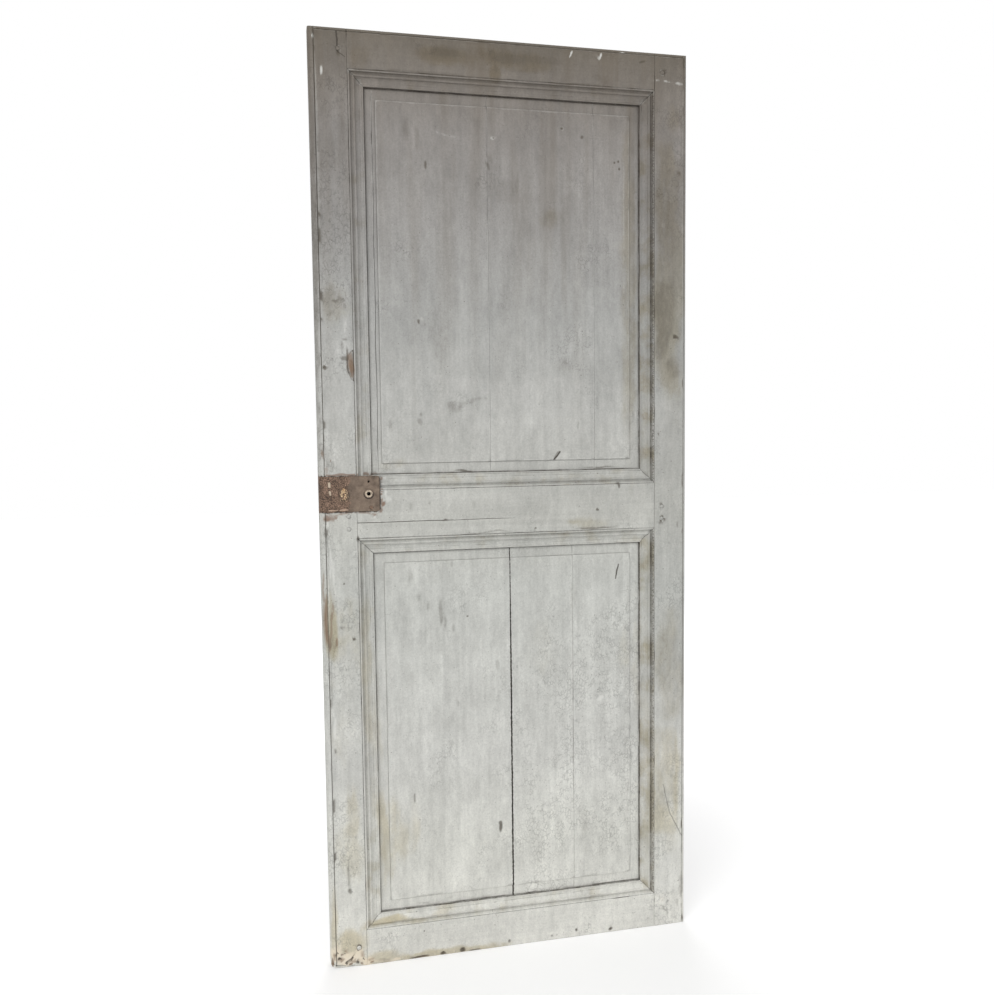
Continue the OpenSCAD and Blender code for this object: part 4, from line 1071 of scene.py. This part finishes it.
def tarnishedBrass(name, tarnish):
    # brass under brown crust, showing through where it is rubbed
    material, tree, shader, place = newMaterial(name)
    made = useGroup(tree, rustGroup, {"Position": place, "Crust": 0.7})
    grains = noiseAt(tree, place, 330.0, 4.0, 0.65)
    stops = [linear(*tone) for tone in metalLook["brass"]]
    brass = ramp(tree, grains, [(0.36, stops[0]), (0.5, stops[1]), (0.62, stops[2])])
    shows = band(tree, grains, tarnish, tarnish + 0.12)
    colour = blendColour(tree, shows, made["Color"], brass)
    finishMetal(tree, shader, made, colour, times(tree, shows, 0.6))
    return material


def wornPlate():
    low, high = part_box("lock_plate")
    bm = mergedCopy("lock_plate")
    for axis in (0, 2):
        steps = round((high[axis] - low[axis]) / (metalLook["faceStep"] * millimetre))
        cutRows(bm, axis, [low[axis] + (high[axis] - low[axis]) * i / steps
                           for i in range(1, steps)])
    bm.normal_update()
    keep = [followerAxis(), middleOf("key_cover")]
    proud = leafFront - metalLook["skin"] * millimetre
    front = [v.co.z for v in bm.verts if v.co.y < proud]
    corner = metalLook["cornerRound"] * millimetre
    for v in bm.verts:
        for z in (min(front) + corner, max(front) - corner):
            off = Vector((v.co.x - high.x + corner, v.co.z - z))
            outer = off.x > 0 and (off.y > 0) == (z > middleOf("lock_plate").z)
            if outer and off.length > corner and v.co.y < proud:
                off *= corner / off.length
                v.co.x, v.co.z = high.x - corner + off.x, z + off.y
    moves = []
    for v in bm.verts:
        if v.co.y > proud:
            continue
        p = v.co * 1000
        pit = noise.noise(p / 3.4) * 0.5 + 0.5
        depth = metalLook["pitDepth"] * pit
        flat = abs(v.normal.y) > 0.9
        if not flat:
            bite = noise.noise(p / 9.0 + Vector((5, 0, 8))) * 0.5 + 0.5
            depth += metalLook["rimLoss"] * bite * bite
        if any(math.hypot(v.co.x - m.x, v.co.z - m.z) < metalLook["kept"] * millimetre
               for m in keep):
            depth = 0.0
        moves.append((v, v.normal * depth * -millimetre))
    for v, shift in moves:
        v.co += shift
    plate = finishMesh("worn_lock_plate", bm, platePaint(), 35.0)
    standFor(plate, "lock_plate")


def dress(material, *names):
    for name in names:
        slots = nodes[name].data.materials
        if slots:
            nodes[name].material_slots[0].material = material
        else:
            slots.append(material)


wornPlate()
heavyRust = plainRust("heavyRust", 1.0)
thinRust = plainRust("thinRust", 0.15)
dress(heavyRust, "lock_screws", "lock_rim", "lock_cover")
dress(thinRust, "bolt_spring", "latch_spring", "lock_pillars", "latch_bolt", "dead_bolt")
dress(followerMetal(), "follower")
dress(tarnishedBrass("crustedBrass", 0.45), "key_cover")
dress(tarnishedBrass("escutcheonBrass", 0.52), "key_escutcheon")
dress(tarnishedBrass("rubbedRivet", 0.3), "key_cover_rivet")
pegProud = 0.05  # mm
pegPaint = paintedWood("pegPaint", (90.0, 3.0, 90.0), 0.5)
dress(pegPaint, "lower_mould_pins", "upper_mould_pins")


def wornPegs(name):
    # their ends have worn almost level with the frame
    bm = mergedCopy(name)
    for v in bm.verts:
        v.co.y = max(v.co.y, leafFront - pegProud * millimetre)
    standFor(finishMesh("worn_" + name, bm, pegPaint), name)


for name in ("top_rail_pegs", "lock_rail_pegs", "bottom_rail_pegs"):
    wornPegs(name)
print("lock and pegs finished")

view = {"place": (-0.506, -2.0975, 1.2121), "turn": (85.693, 0.677, -12.914), "lens": 34.4}
camera = bpy.data.objects.new("camera", bpy.data.cameras.new("camera"))
camera.data.sensor_width = 36.0
camera.data.lens = view["lens"]
camera.location = view["place"]
camera.rotation_euler = Euler([math.radians(a) for a in view["turn"]])
camera.data.clip_start = 0.01
scene.collection.objects.link(camera)
scene.camera = camera

lamps = {  # place, size in metres, watts
    "key": ((-2.4, -3.2, 3.4), 2.6, 96.0),
    "fill": ((2.6, -3.0, 1.6), 2.4, 26.0),
    "back": ((0.6, 3.4, 2.6), 2.6, 52.0),
}
for name, (place, size, watts) in lamps.items():
    lamp = bpy.data.objects.new(name, bpy.data.lights.new(name, "AREA"))
    lamp.data.shape = "DISK"
    lamp.data.size = size
    lamp.data.energy = watts
    lamp.location = place
    aim = Vector((0, 0, 1.0)) - Vector(place)
    lamp.rotation_euler = aim.to_track_quat("-Z", "Y").to_euler()
    scene.collection.objects.link(lamp)


def seenDirectly(tree):
    # 1 for what the camera sees, also in a reflection or through a clear piece
    rays = put(tree, "LightPath").outputs
    return larger(tree, larger(tree, rays["Is Camera Ray"], rays["Is Glossy Ray"]),
                  rays["Is Transmission Ray"])


world = bpy.data.worlds.new("studio")
scene.world = world
world.use_nodes = True
tree = world.node_tree
tree.nodes.clear()
seen = seenDirectly(tree)
dim = put(tree, "Background", {"Color": (1, 1, 1, 1), "Strength": 0.5})
white = put(tree, "Background", {"Color": (1, 1, 1, 1), "Strength": 1.0})
sky = put(tree, "MixShader", {0: seen, 1: dim.outputs[0], 2: white.outputs[0]})
tree.links.new(sky.outputs[0], put(tree, "OutputWorld").inputs[0])

floorMesh = bmesh.new()
bmesh.ops.create_grid(floorMesh, x_segments=1, y_segments=1, size=12.0)
floorMaterial, tree, shader, place = newMaterial("studioFloor")
fill(tree, shader, {"Base Color": (0.82, 0.82, 0.82, 1), "Roughness": 0.9})
shader.inputs["Emission Color"].default_value = (1, 1, 1, 1)
away = measure(tree, "LENGTH", place)
# white away from the door, and low enough beside it to keep the shadow
glow = scaled(tree, band(tree, away, 0.5, 2.2), 0.35, 0.27)
fill(tree, shader, {"Emission Strength": times(tree, seenDirectly(tree), glow)})
floor = finishMesh("studio_floor", floorMesh, floorMaterial)

print("done")
